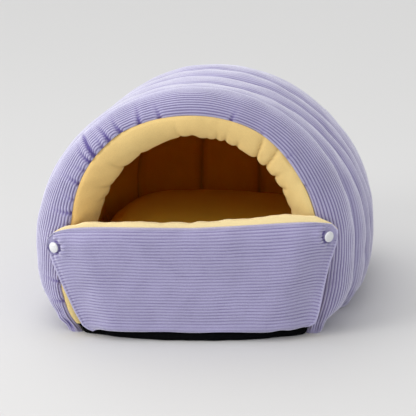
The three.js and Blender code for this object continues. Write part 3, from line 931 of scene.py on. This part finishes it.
def flap_middle(across, up, rise):
    """The flap's middle by shares across it and up it. Rise is 1 for the lining, whose top stands higher."""
    half = from_table(FLAP_WIDTHS, up)
    rightward = np.maximum(0, across)
    x = mix(4, -5, up) + across * half + from_table(FLAP_RIGHT_BOW, up) * rightward ** 6
    droop = (11 - 3 * rightward) * across ** 8
    lift = rise * (5 + 6 * rightward) * (1 - across ** 8) * up ** 2
    hang = 4 * across ** 24
    corner = (8 * rightward * across ** 10 + 2.5 * bell(across - 0.76, 0.07)) * (1 - up) ** 10
    lift = lift + rise * up ** 6 * (0.8 * np.sin(x / 7.5 + 2 * np.sin(x / 29)) + 0.25 * np.sin(x / 3.1))
    z = mix(ON_BASE - hang, FLAP_HEIGHT + 12 * rightward ** 1.2 - droop, up) + lift + corner
    return x, flap_reach(x, z), z


def flap_fullness(across, up, rise):
    thin = np.where(up > 0.5, 1 - rise * 0.4, 1)
    side = smoothstep(1 - np.abs(across), 0, 0.3)
    return side * np.sqrt(np.maximum(0, 1 - thin * (2 * up - 1) ** 6))


def flap_sheet(across, up, hem, puff, rise):
    x, y, z = flap_middle(across, up, rise)
    return placed(x, y + hem + puff * flap_fullness(across, up, rise), z)


def face_point(across, up):
    """A point of the corduroy side, before its padding."""
    return flap_sheet(np.array(across), np.array(up), -FLAP_HEM, -FLAP_PUFF, 0)


SNAPS = {"snap_left": (-0.954, 0.838, -18), "snap_right": (0.935, 0.878, 20)}
print("flap:", FLAP_HEIGHT, "mm high and", 2 * FLAP_WIDEST, "mm wide")

# %% The flap's corduroy side
FLAP_WALES = 34
FLAP_WALE_POINTS = 5
FLAP_COLUMNS = 141
FOOT_BULGE = 5.5
CAP_EDGE = 8.6


def round_snaps(points, padding):
    """Tilts and presses the cloth under each snap, and gathers it into small folds round the cap."""
    for across, up, lean in SNAPS.values():
        gap = points - face_point(across, up)
        far = np.linalg.norm(gap, axis=-1)
        turn = np.arctan2(gap[..., 2], gap[..., 0])
        padding = padding - gap[..., 0] * math.tan(math.radians(lean)) * bell(far, 15)
        padding = padding + 0.9 * bell(far - 16, 5) - 2.6 * bell(far - CAP_EDGE, 2.4)
        padding = padding + 0.9 * bell(far - 12.5, 5) * np.sin(9 * turn + 1)
    return padding


def flap_face_piece():
    rows = FLAP_WALES * FLAP_WALE_POINTS + 1
    up = np.linspace(0, 1, rows)[:, None]
    side = np.radians(np.linspace(-90, 90, FLAP_COLUMNS))[None, :]
    across = mix(np.sin(side), side / (math.pi / 2), 0.5)
    pulled = 0.035 * smoothstep(across, 0.55, 1) * smoothstep(up, 0, 0.3) * (1 - smoothstep(up, 0.7, 1))
    face = flap_sheet(across, up + pulled, -FLAP_HEM, -FLAP_PUFF, 0)
    from_side = (1 - np.abs(across)) * FLAP_WIDEST + 0 * up
    from_foot, from_top = up * FLAP_HEIGHT + 0 * across, (1 - up) * FLAP_HEIGHT + 0 * across
    at_foot = bell(from_foot, 11) * smoothstep(from_foot, 0, 2) * smoothstep(1 - np.abs(across), 0, 0.2)
    face[..., 1] -= FOOT_BULGE * at_foot
    behind = flap_sheet(across, up + pulled, -HALF_GAP, 0, 0)
    u, v = face[..., 0], face[..., 2]
    rim = np.minimum(np.minimum(from_foot, from_top), from_side)
    padding = smoothstep(rim, 0, 14) * (1.0 * swells(u, v, 110, 51) + 0.3 * swells(u, v, 36, 52))
    padding = padding + 0.6 * bell(from_side - 1.8, 1.4) - 0.8 * bell(from_side - 4.6, 1.8)
    padding = padding - 3.0 * bell(from_top, 13) + 0.8 * bell(from_top, 12) * np.sin(u / 9 + 2 * np.sin(u / 37))
    padding = padding + 0.6 * bell(from_foot, 12) * np.sin(u / 23 + 1.8 * np.sin(u / 47) + 1)
    padding = round_snaps(face, padding) * smoothstep(rim, 0, 2.5)
    face = face + surface_normals(face, behind) * padding[..., None]
    wale = np.repeat(np.arange(rows)[:, None] / FLAP_WALE_POINTS, FLAP_COLUMNS, axis=1)
    wale = wale + smoothstep(rim, 0, 20) * (0.1 * swells(u, v, 90, 53) + 0.03 * swells(u, v, 25, 54))
    snap_gap, painted_shade = 1.0, 0.0
    for snap in SNAPS.values():
        far = np.linalg.norm(face - face_point(*snap[:2]), axis=-1)
        snap_gap = snap_gap * smoothstep(far, 6, 8.5)
        # Painted shade in a thin ring round each cap.
        painted_shade = painted_shade + 0.9 * bell(far - CAP_EDGE, 1.5)
    raised = 1.05 * smoothstep(from_side, 1.4, 3.4) * smoothstep(from_top, 0, 2) * snap_gap
    raised = raised * mix(0.25, 1, smoothstep(from_foot, 1, 18))
    # The smooth side hem, with no wales. Its paler colour is a painted highlight.
    hem = 1 - smoothstep(from_side, 1.2, 2.6)
    nothing = np.zeros_like(wale)
    marks = {"wale": wale, "raised": raised, "hem": hem, "painted_shade": painted_shade}
    marks = {name: (values, nothing) for name, values in marks.items()}
    print("flap face:", rows, "rows of", FLAP_COLUMNS)
    return sew_quilt("flap_face_cloth", face, behind, marks)


flap_face = flap_face_piece()

# %% The flap's plush side
def flap_lining_piece():
    up = ((1 - np.cos(np.linspace(0, math.pi, 61))) / 2)[:, None]
    across = np.sin(np.radians(np.linspace(-90, 90, 141)))[None, :]
    front = flap_sheet(across, up, HALF_GAP, 0, 1)
    behind = flap_sheet(across, up, FLAP_HEM, FLAP_PUFF, 1)
    rim = np.minimum(np.minimum(up, 1 - up) * FLAP_HEIGHT, (1 - np.abs(across)) * 185)
    padding = smoothstep(rim, 0, 14) * swells(behind[..., 0], behind[..., 2], 70, 61)
    behind = behind + surface_normals(behind, front) * padding[..., None]
    nothing = np.zeros(front.shape[:2])
    return sew_quilt("flap_lining_cloth", front, behind, {"inside": (nothing, nothing)})


flap_lining = flap_lining_piece()
print("flap lining faces:", len(flap_lining.data.polygons))

# %% [markdown]
# ## Raising the wales with Geometry Nodes
#
# A wale is a ridge of cut pile between two narrow bare grooves, and it repeats across the whole cloth.
# A node tree is the right tool for a thing that repeats: it reads the wale count of each point,
# works out how high the pile stands there, and moves the point along its normal. It also
# stores that height as a mark called ridge, so the material can colour grooves and ridges.

# %% The wale tree
FLAT_TONE = 0.8


def wale_tree():
    tree = bpy.data.node_groups.new("raised wales", "GeometryNodeTree")
    face = tree.interface
    face.new_socket("Cloth", in_out="INPUT", socket_type="NodeSocketGeometry")
    for name, value in (("Pile height", 0.0012), ("Sink", 0.6), ("Roundness", 0.6)):
        socket = face.new_socket(name, in_out="INPUT", socket_type="NodeSocketFloat")
        socket.default_value = value
    face.new_socket("Material", in_out="INPUT", socket_type="NodeSocketMaterial")
    face.new_socket("Cloth", in_out="OUTPUT", socket_type="NodeSocketGeometry")
    nodes, links = tree.nodes, tree.links
    start = nodes.new("NodeGroupInput")
    end = nodes.new("NodeGroupOutput")

    def named(name):
        node = nodes.new("GeometryNodeInputNamedAttribute")
        node.data_type = "FLOAT"
        node.inputs["Name"].default_value = name
        return node.outputs["Attribute"]

    def worked(operation, first, second=None):
        node = nodes.new("ShaderNodeMath")
        node.operation = operation
        for socket, value in zip(node.inputs, (first, second)):
            if isinstance(value, (int, float)):
                socket.default_value = value
            elif value is not None:
                links.new(value, socket)
        return node.outputs[0]

    wave = worked("ABSOLUTE", worked("SINE", worked("MULTIPLY", named("wale"), math.pi)))
    ridge = worked("POWER", wave, start.outputs["Roundness"])
    lifted = worked("MULTIPLY", worked("SUBTRACT", ridge, start.outputs["Sink"]), start.outputs["Pile height"])
    height = worked("MULTIPLY", lifted, named("raised"))
    offset = nodes.new("ShaderNodeVectorMath")
    offset.operation = "SCALE"
    links.new(nodes.new("GeometryNodeInputNormal").outputs[0], offset.inputs[0])
    links.new(height, offset.inputs["Scale"])
    store = nodes.new("GeometryNodeStoreNamedAttribute")
    store.data_type = "FLOAT"
    store.domain = "POINT"
    store.inputs["Name"].default_value = "ridge"
    links.new(start.outputs["Cloth"], store.inputs["Geometry"])
    above = worked("SUBTRACT", ridge, FLAT_TONE)
    shown = worked("ADD", worked("MULTIPLY", above, named("raised")), FLAT_TONE)
    links.new(shown, store.inputs["Value"])
    move = nodes.new("GeometryNodeSetPosition")
    links.new(store.outputs["Geometry"], move.inputs["Geometry"])
    links.new(offset.outputs[0], move.inputs["Offset"])
    real = nodes.new("GeometryNodeRealizeInstances")
    links.new(move.outputs["Geometry"], real.inputs["Geometry"])
    coat = nodes.new("GeometryNodeSetMaterial")
    links.new(real.outputs["Geometry"], coat.inputs["Geometry"])
    links.new(start.outputs["Material"], coat.inputs["Material"])
    links.new(coat.outputs["Geometry"], end.inputs["Cloth"])
    return tree


def grow(piece, tree, **values):
    """Runs a node tree on a piece with the named values, and keeps the result as a plain mesh."""
    modifier = piece.modifiers.new(tree.name, "NODES")
    modifier.node_group = tree
    sockets = {item.name: item.identifier for item in tree.interface.items_tree if item.in_out == "INPUT"}
    for name, value in values.items():
        modifier[sockets[name.replace("_", " ")]] = value
    apply_modifiers(piece)


WALE_TREE = wale_tree()
print("wale tree has", len(WALE_TREE.nodes), "nodes")

# %% [markdown]
# ## Cloth materials
#
# Both cloths have short pile, so both share three effects: fine pile that stands in random
# directions, soft patches where a hand has brushed it, and a painted sheen that turns the colour paler
# where the cloth faces away from the camera. The first two are node groups. The third reads Layer Weight, so it
# stays in each material.

# %% Shared node groups
def new_group(name, inputs, outputs):
    group = bpy.data.node_groups.new(name, "ShaderNodeTree")
    kinds = {"value": "NodeSocketFloat", "colour": "NodeSocketColor", "vector": "NodeSocketVector"}
    for label, kind, default in inputs:
        socket = group.interface.new_socket(label, in_out="INPUT", socket_type=kinds[kind])
        if default is not None:
            socket.default_value = default
    for label, kind in outputs:
        group.interface.new_socket(label, in_out="OUTPUT", socket_type=kinds[kind])
    return group, group.nodes.new("NodeGroupInput"), group.nodes.new("NodeGroupOutput")


def add_node(tree, kind, **settings):
    """Adds a node. A setting that names or numbers a socket fills it with a value or a link."""
    node = tree.nodes.new(kind)
    for key, value in settings.items():
        if hasattr(node, key) and not isinstance(value, bpy.types.NodeSocket):
            setattr(node, key, value)
            continue
        numbered = key[0] == "_" and key[1:].isdigit()
        socket = node.inputs[int(key[1:]) if numbered else key.replace("_", " ")]
        if isinstance(value, bpy.types.NodeSocket):
            tree.links.new(value, socket)
        else:
            socket.default_value = value
    return node


def pile_group():
    """Fine standing pile, in metres of height, and soft brushed patches from 0 to 1."""
    group, start, end = new_group(
        "pile",
        [("Fibre size", "value", 1400.0), ("Patch size", "value", 14.0)],
        [("Fibre", "value"), ("Patch", "value")],
    )
    place = add_node(group, "ShaderNodeTexCoord").outputs["Object"]
    fibre = add_node(group, "ShaderNodeTexNoise", Vector=place, Scale=start.outputs["Fibre size"], Detail=3.0,
                     Roughness=0.65)
    patch = add_node(group, "ShaderNodeTexNoise", Vector=place, Scale=start.outputs["Patch size"], Detail=2.0,
                     Roughness=0.5)
    group.links.new(fibre.outputs["Fac"], end.inputs["Fibre"])
    group.links.new(patch.outputs["Fac"], end.inputs["Patch"])
    return group


def shade_group():
    """Mixes a cloth's deep and lit colours by a mask, and mottles the result by its patches and fibre."""
    group, start, end = new_group(
        "cloth colour",
        [("Deep", "colour", None), ("Lit", "colour", None), ("Mask", "value", 0.5), ("Fibre", "value", 0.5),
         ("Patch", "value", 0.5), ("Mottle", "value", 0.12)],
        [("Colour", "colour")],
    )
    base = add_node(group, "ShaderNodeMix", data_type="RGBA", clamp_factor=False)
    group.links.new(start.outputs["Mask"], base.inputs["Factor"])
    group.links.new(start.outputs["Deep"], base.inputs[6])
    group.links.new(start.outputs["Lit"], base.inputs[7])
    both = add_node(group, "ShaderNodeMath", operation="ADD", _0=start.outputs["Fibre"], _1=start.outputs["Patch"])
    centred = add_node(group, "ShaderNodeMath", operation="SUBTRACT", _0=both.outputs[0], _1=1.0)
    amount = add_node(group, "ShaderNodeMath", operation="MULTIPLY_ADD", _0=centred.outputs[0],
                      _1=start.outputs["Mottle"], _2=1.0)
    scaled = add_node(group, "ShaderNodeVectorMath", operation="SCALE")
    group.links.new(base.outputs[2], scaled.inputs[0])
    group.links.new(amount.outputs[0], scaled.inputs["Scale"])
    group.links.new(scaled.outputs[0], end.inputs["Colour"])
    return group


PILE = pile_group()
SHADE = shade_group()
print("shared groups:", PILE.name, "and", SHADE.name)

# %% Materials
def cloth_material(name, roughness, specular=0.15):
    material = plain_material(name, (0.5, 0.5, 0.5), roughness)
    shader = material.node_tree.nodes["Principled BSDF"]
    shader.inputs["Specular IOR Level"].default_value = specular
    return material, material.node_tree, shader


def grouped(tree, group):
    node = tree.nodes.new("ShaderNodeGroup")
    node.node_tree = group
    return node


def mark_value(tree, name):
    node = tree.nodes.new("ShaderNodeAttribute")
    node.attribute_name = name
    return node.outputs["Fac"]


def mixed(tree, first, second, factor):
    """A mix of two colours, each a plain colour or a link, by a linked share."""
    node = add_node(tree, "ShaderNodeMix", data_type="RGBA", Factor=factor)
    for socket, colour in ((node.inputs[6], first), (node.inputs[7], second)):
        if isinstance(colour, bpy.types.NodeSocket):
            tree.links.new(colour, socket)
        else:
            socket.default_value = (*colour, 1)
    return node.outputs[2]


def maths(tree, operation, first, second, third=0.0, clamp=False):
    return add_node(tree, "ShaderNodeMath", operation=operation, _0=first, _1=second, _2=third,
                    use_clamp=clamp).outputs[0]


def cloth_finish(tree, shader, deep, lit, mask, fibre_size, patch_size, mottle, height):
    """Gives a cloth its pile as bump, and returns its mottled colour."""
    pile = grouped(tree, PILE)
    pile.inputs["Fibre size"].default_value = fibre_size
    pile.inputs["Patch size"].default_value = patch_size
    shade = grouped(tree, SHADE)
    for label, colour in (("Deep", deep), ("Lit", lit)):
        if isinstance(colour, bpy.types.NodeSocket):
            tree.links.new(colour, shade.inputs[label])
        else:
            shade.inputs[label].default_value = (*colour, 1)
    shade.inputs["Mottle"].default_value = mottle
    tree.links.new(mask, shade.inputs["Mask"])
    tree.links.new(pile.outputs["Fibre"], shade.inputs["Fibre"])
    tree.links.new(pile.outputs["Patch"], shade.inputs["Patch"])
    bump = add_node(tree, "ShaderNodeBump", Height=pile.outputs["Fibre"], Strength=1.0, Distance=height)
    tree.links.new(bump.outputs["Normal"], shader.inputs["Normal"])
    return shade.outputs["Colour"]


def painted_sheen(tree, colour, sheen_colour, mask, power):
    """Paints a sheen: turns a cloth's colour towards a paler sheen colour where it faces away from the camera."""
    facing = add_node(tree, "ShaderNodeLayerWeight", Blend=0.5).outputs["Facing"]
    turned_away = maths(tree, "POWER", facing, power)
    return mixed(tree, colour, sheen_colour, maths(tree, "MULTIPLY", turned_away, mask))


LILAC_RIDGE = (0.41, 0.39, 0.583)
LILAC_GROOVE_SHADE = (0.21, 0.18, 0.355)
LILAC_PAINTED_SHADE = (0.13, 0.10, 0.31)
LILAC_HEM_HIGHLIGHT = (0.56, 0.54, 0.74)
LILAC_PAINTED_SHEEN = (0.90, 0.90, 0.98)
BUTTER_LIT = (0.80, 0.575, 0.235)
BUTTER_PAINTED_SHADE = (0.88, 0.37, 0.012)
BUTTER_PAINTED_SHEEN = (1.0, 0.72, 0.30)
FLAP_BUTTER_PAINTED_SHEEN = (1.0, 0.85, 0.52)
CUSHION_PAINTED_SHADE_LIT = (0.95, 0.62, 0.07)
CUSHION_PAINTED_SHADE_DEEP = (0.95, 0.51, 0.012)
FLAP_BUTTER_PAINTED_LIGHT = (1.0, 0.82, 0.44)
BLACK_DEEP = (0.0015, 0.0015, 0.0018)
BLACK_LIT = (0.005, 0.005, 0.006)


def corduroy_material():
    material, tree, shader = cloth_material("lilac corduroy", 0.9)
    shader.inputs["Sheen Weight"].default_value = 1.0
    shader.inputs["Sheen Roughness"].default_value = 0.35
    shader.inputs["Sheen Tint"].default_value = (0.90, 0.89, 1.0, 1)
    fuzz = grouped(tree, PILE)
    fuzz.inputs["Fibre size"].default_value = 900
    ragged = maths(tree, "MULTIPLY_ADD", fuzz.outputs["Fibre"], 0.8, mark_value(tree, "ridge"))
    ridge = add_node(tree, "ShaderNodeMapRange", Value=ragged)
    ridge.inputs["From Min"].default_value = 0.55
    ridge.inputs["From Max"].default_value = 1.45
    # Painted shade: the grooves are darker, partly the bare weave's own tone and partly painted shade. Where the
    # shade mark is set (gathers, slack folds, right-hand hoops, round the snaps), the colour turns to a deep
    # violet of painted shade.
    painted_shade = mark_value(tree, "painted_shade")
    # The flap's smooth side hem is painted paler, as a painted highlight.
    lit = mixed(tree, LILAC_RIDGE, LILAC_HEM_HIGHLIGHT, mark_value(tree, "hem"))
    deep = mixed(tree, LILAC_GROOVE_SHADE, LILAC_PAINTED_SHADE, painted_shade)
    on_ridge = maths(tree, "SUBTRACT", ridge.outputs[0], painted_shade, clamp=True)
    colour = cloth_finish(tree, shader, deep, lit, on_ridge, 650, 16, 0.30, 0.0005)
    # Painted sheen: the ridges turn paler where the cloth faces away from the camera.
    tree.links.new(painted_sheen(tree, colour, LILAC_PAINTED_SHEEN, on_ridge, 1.55), shader.inputs["Base Color"])
    return material


def plush_material(name, deep, lit, sheen_colour):
    material, tree, shader = cloth_material(name, 0.95)
    # Painted shade: the colour goes from lit to the painted shade colour as the inside mark rises, and past the
    # lit colour, as painted light, where the mark is below zero.
    outside = maths(tree, "SUBTRACT", 1.0, mark_value(tree, "inside"))
    colour = cloth_finish(tree, shader, deep, lit, outside, 700, 12, 0.24, 0.0006)
    # Painted sheen: brushed is the colour turned paler where the plush faces away from the camera.
    brushed = painted_sheen(tree, colour, sheen_colour, outside, 1.5)
    # Painted shade darkens the colour in the creases and seams.
    open_share = maths(tree, "SUBTRACT", 1.0, mark_value(tree, "painted_shade"), clamp=True)
    creased = add_node(tree, "ShaderNodeVectorMath", operation="SCALE", _0=brushed, Scale=open_share)
    tree.links.new(creased.outputs[0], shader.inputs["Base Color"])
    return material


def underside_material():
    material, tree, shader = cloth_material("black underside cloth", 1.0, specular=0.04)
    place = add_node(tree, "ShaderNodeTexCoord").outputs["Object"]
    weave = add_node(tree, "ShaderNodeTexVoronoi", Vector=place, Scale=420.0).outputs["Distance"]
    colour = cloth_finish(tree, shader, BLACK_DEEP, BLACK_LIT, weave, 900, 20, 0.2, 0.0003)
    tree.links.new(colour, shader.inputs["Base Color"])
    return material


def snap_material():
    material = plain_material("white snap plastic", (0.72, 0.73, 0.75), 0.22)
    tree = material.node_tree
    shader = tree.nodes["Principled BSDF"]
    place = add_node(tree, "ShaderNodeTexCoord").outputs["Object"]
    haze = add_node(tree, "ShaderNodeTexNoise", Vector=place, Scale=600.0, Detail=2.0)
    dull = add_node(tree, "ShaderNodeMapRange", Value=haze.outputs["Fac"])
    dull.inputs["To Min"].default_value = 0.16
    dull.inputs["To Max"].default_value = 0.32
    tree.links.new(dull.outputs[0], shader.inputs["Roughness"])
    shader.inputs["Coat Weight"].default_value = 0.3
    return material


CORDUROY = corduroy_material()
PLUSH = plush_material("butter plush", BUTTER_PAINTED_SHADE, BUTTER_LIT, BUTTER_PAINTED_SHEEN)
# The cushion's plush is the butter plush painted darker and oranger, as painted shade of the cave.
CUSHION_PLUSH = plush_material("cushion plush with painted shade", CUSHION_PAINTED_SHADE_DEEP, CUSHION_PAINTED_SHADE_LIT, CUSHION_PAINTED_SHADE_LIT)
# The flap's plush is the butter plush painted paler, as painted light on its top edge, with a paler painted sheen.
FLAP_PLUSH = plush_material("flap plush with painted light", BUTTER_LIT, FLAP_BUTTER_PAINTED_LIGHT, FLAP_BUTTER_PAINTED_SHEEN)
UNDERSIDE = underside_material()
PLASTIC = snap_material()
print("materials:", [m.name for m in (CORDUROY, PLUSH, CUSHION_PLUSH, FLAP_PLUSH, UNDERSIDE, PLASTIC)])

# %% Raise the wales and put on the cloths
for piece, height in ((shell, 0.0008), (back_panel, 0.0008), (flap_face, 0.0007)):
    grow(piece, WALE_TREE, Pile_height=height, Material=CORDUROY)
    print(piece.name, "has", len(piece.data.polygons), "faces")

for piece, plush in ((lining, PLUSH), (back_lining, PLUSH), (cushion, CUSHION_PLUSH), (flap_lining, FLAP_PLUSH)):
    piece.data.materials.clear()
    piece.data.materials.append(plush)

# The far part of the cushion lies deeper in the cave, so more shade is painted on it.
far_back = np.array([vertex.co.y for vertex in cushion.data.vertices]) * 1000 - ORIGIN[1]
add_marks(cushion.data, {"inside": mix(0.1, 0.3, smoothstep(far_back, 110, 330))})

# %% [markdown]
# ## The black underside
#
# The underside is a thin padded mat of anti-slip cloth. Only its front edge shows, so its outline is
# taken from its solid and given a soft, slightly uneven edge.

# %% The mat
def mat_outline():
    """The solid's own outline, in order round it, in metres."""
    shape = bmesh.new()
    shape.from_mesh(bpy.data.objects["base"].data)
    bmesh.ops.remove_doubles(shape, verts=shape.verts, dist=1e-6)
    low = [vertex for vertex in shape.verts if vertex.co.z < 1e-4]
    rim = [edge for edge in shape.edges
           if all(v.co.z < 1e-4 for v in edge.verts) and any(abs(f.normal.z) < 0.5 for f in edge.link_faces)]
    follow = {vertex: [] for vertex in low}
    for edge in rim:
        first, second = edge.verts
        follow[first].append(second)
        follow[second].append(first)
    order = [next(vertex for vertex in low if follow[vertex])]
    before = None
    while True:
        after = [vertex for vertex in follow[order[-1]] if vertex is not before]
        before = order[-1]
        if not after or after[0] is order[0]:
            break
        order.append(after[0])
    points = np.array([vertex.co[:2] for vertex in order])
    shape.free()
    return points


MAT_POINTS = 360
MAT_CORNERS = [((144, 22), 0.004), ((-142, -2), 0.006)]
MAT_EDGE = [(0.0035, 0.0), (0.0008, 0.0012), (0.0, 0.0042), (0.0, 0.0085), (0.0012, 0.0112), (0.004, 0.012)]


def mat_piece():
    """The mat from rings of points: its outline, drawn in as its rounded edge asks at each height."""
    rough = mat_outline()
    closed = np.column_stack([np.vstack([rough, rough[:1]]), np.zeros(len(rough) + 1)])
    outline = spaced(closed, MAT_POINTS + 1)[:-1, :2]
    middle = outline.mean(axis=0)
    inward = middle - outline
    inward /= np.linalg.norm(inward, axis=1, keepdims=True)
    for corner, push in MAT_CORNERS:
        near = bell(np.linalg.norm(outline - (np.array(corner) + ORIGIN[:2]) / 1000, axis=1), 0.02)
        outline = outline - inward * push * near[:, None]
    turn = np.linspace(0, 2 * math.pi, MAT_POINTS + 1)[:-1]
    wobble = 0.0004 * (np.sin(23 * turn) + np.sin(41 * turn + 1))
    rings = [np.column_stack([outline + inward * (inset + wobble[:, None]), np.full(MAT_POINTS, height)])
             for inset, height in MAT_EDGE]
    return sew_tube("underside_mat", np.stack(rings) * 1000 - ORIGIN, {})


mat = mat_piece()
mat.data.materials.append(UNDERSIDE)
print("mat faces:", len(mat.data.polygons))

# %% [markdown]
# ## The snaps
#
# Each snap is a small moulded cap with a rolled rim and a low dome. It is turned on a lathe of points
# and laid on the padded tab, square to the cloth.

# %% Snap caps
CAP_TURNS = 48
CAP_SUNK = 0.6
CAP_PROFILE = [(0, 0), (6.6, 0), (7.2, 0.25), (7.5, 0.9), (7.45, 1.5), (7.1, 2.1), (6.5, 2.45), (6.0, 2.6),
               (5.4, 2.95), (4.4, 3.35), (3.2, 3.68), (1.8, 3.92), (0, 4.0)]


def lathe(shape, profile):
    """Turns a line of radius and height into a closed body."""
    rings = []
    for radius, height in profile:
        turns = [2 * math.pi * step / CAP_TURNS for step in range(CAP_TURNS if radius else 1)]
        rings.append([shape.verts.new((radius * math.cos(turn), radius * math.sin(turn), height))
                      for turn in turns])
    for lower, upper in zip(rings, rings[1:]):
        for step in range(CAP_TURNS):
            ahead = (step + 1) % CAP_TURNS
            if len(lower) == 1:
                shape.faces.new((lower[0], upper[ahead], upper[step]))
            elif len(upper) == 1:
                shape.faces.new((lower[step], lower[ahead], upper[0]))
            else:
                shape.faces.new((lower[step], lower[ahead], upper[ahead], upper[step]))
    bmesh.ops.recalc_face_normals(shape, faces=shape.faces)


def snap_cap(name):
    across, up, extra = SNAPS[name]
    before, middle, after = (face_point(across + step, up) for step in (-0.03, 0, 0.03))
    lean = math.atan2(after[1] - before[1], after[0] - before[0]) + math.radians(extra)
    face_out = Matrix.Rotation(lean, 4, "Z") @ Matrix.Rotation(math.pi / 2, 4, "X")
    centre = Vector(to_frame(middle - np.array([0, CAP_SUNK, 0])))
    shape = bmesh.new()
    lathe(shape, CAP_PROFILE)
    shape.transform(Matrix.Translation(centre) @ face_out @ Matrix.Scale(0.001, 4))
    mesh = bpy.data.meshes.new(name + "_cap")
    shape.to_mesh(mesh)
    shape.free()
    mesh.shade_smooth()
    mesh.materials.append(PLASTIC)
    print(name, "cap centre at", [round(value, 4) for value in centre])
    return add_piece(name + "_cap", mesh)


caps = {name: snap_cap(name) for name in SNAPS}

# %% [markdown]
# ## Hand the pieces to the frame
# Each finished piece rides on the bed's one body, and the plain solid it stands for is hidden. The list
# also gives the finish each piece takes and how full the stuffed pieces are, which nothing here reads. The stuffed
# pieces also say how full they are.

# %% Ride and replace
SEWN = [
    (shell, "shell", "corduroy", 0.75),
    (lining, "lining", "lining_cloth", 0.75),
    (back_panel, "back_panel", "corduroy", 0.7),
    (back_lining, "back_lining", "lining_cloth", 0.7),
    (cushion, "cushion", "lining_cloth", 0.7),
    (mat, "base", "underside_cloth", 0.3),
    (flap_face, "flap_face", "corduroy", 0.5),
    (flap_lining, "flap_lining", "lining_cloth", 0.5),
]
for piece, node, slot, fill in SEWN:
    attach(piece, "root")
    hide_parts(node)
for name, cap in caps.items():
    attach(cap, "root")
    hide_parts(name)

triangles = {piece.name: sum(len(face.vertices) - 2 for face in piece.data.polygons)
             for piece in [row[0] for row in SEWN] + list(caps.values())}
print("triangles:", triangles, "in all", sum(triangles.values()))
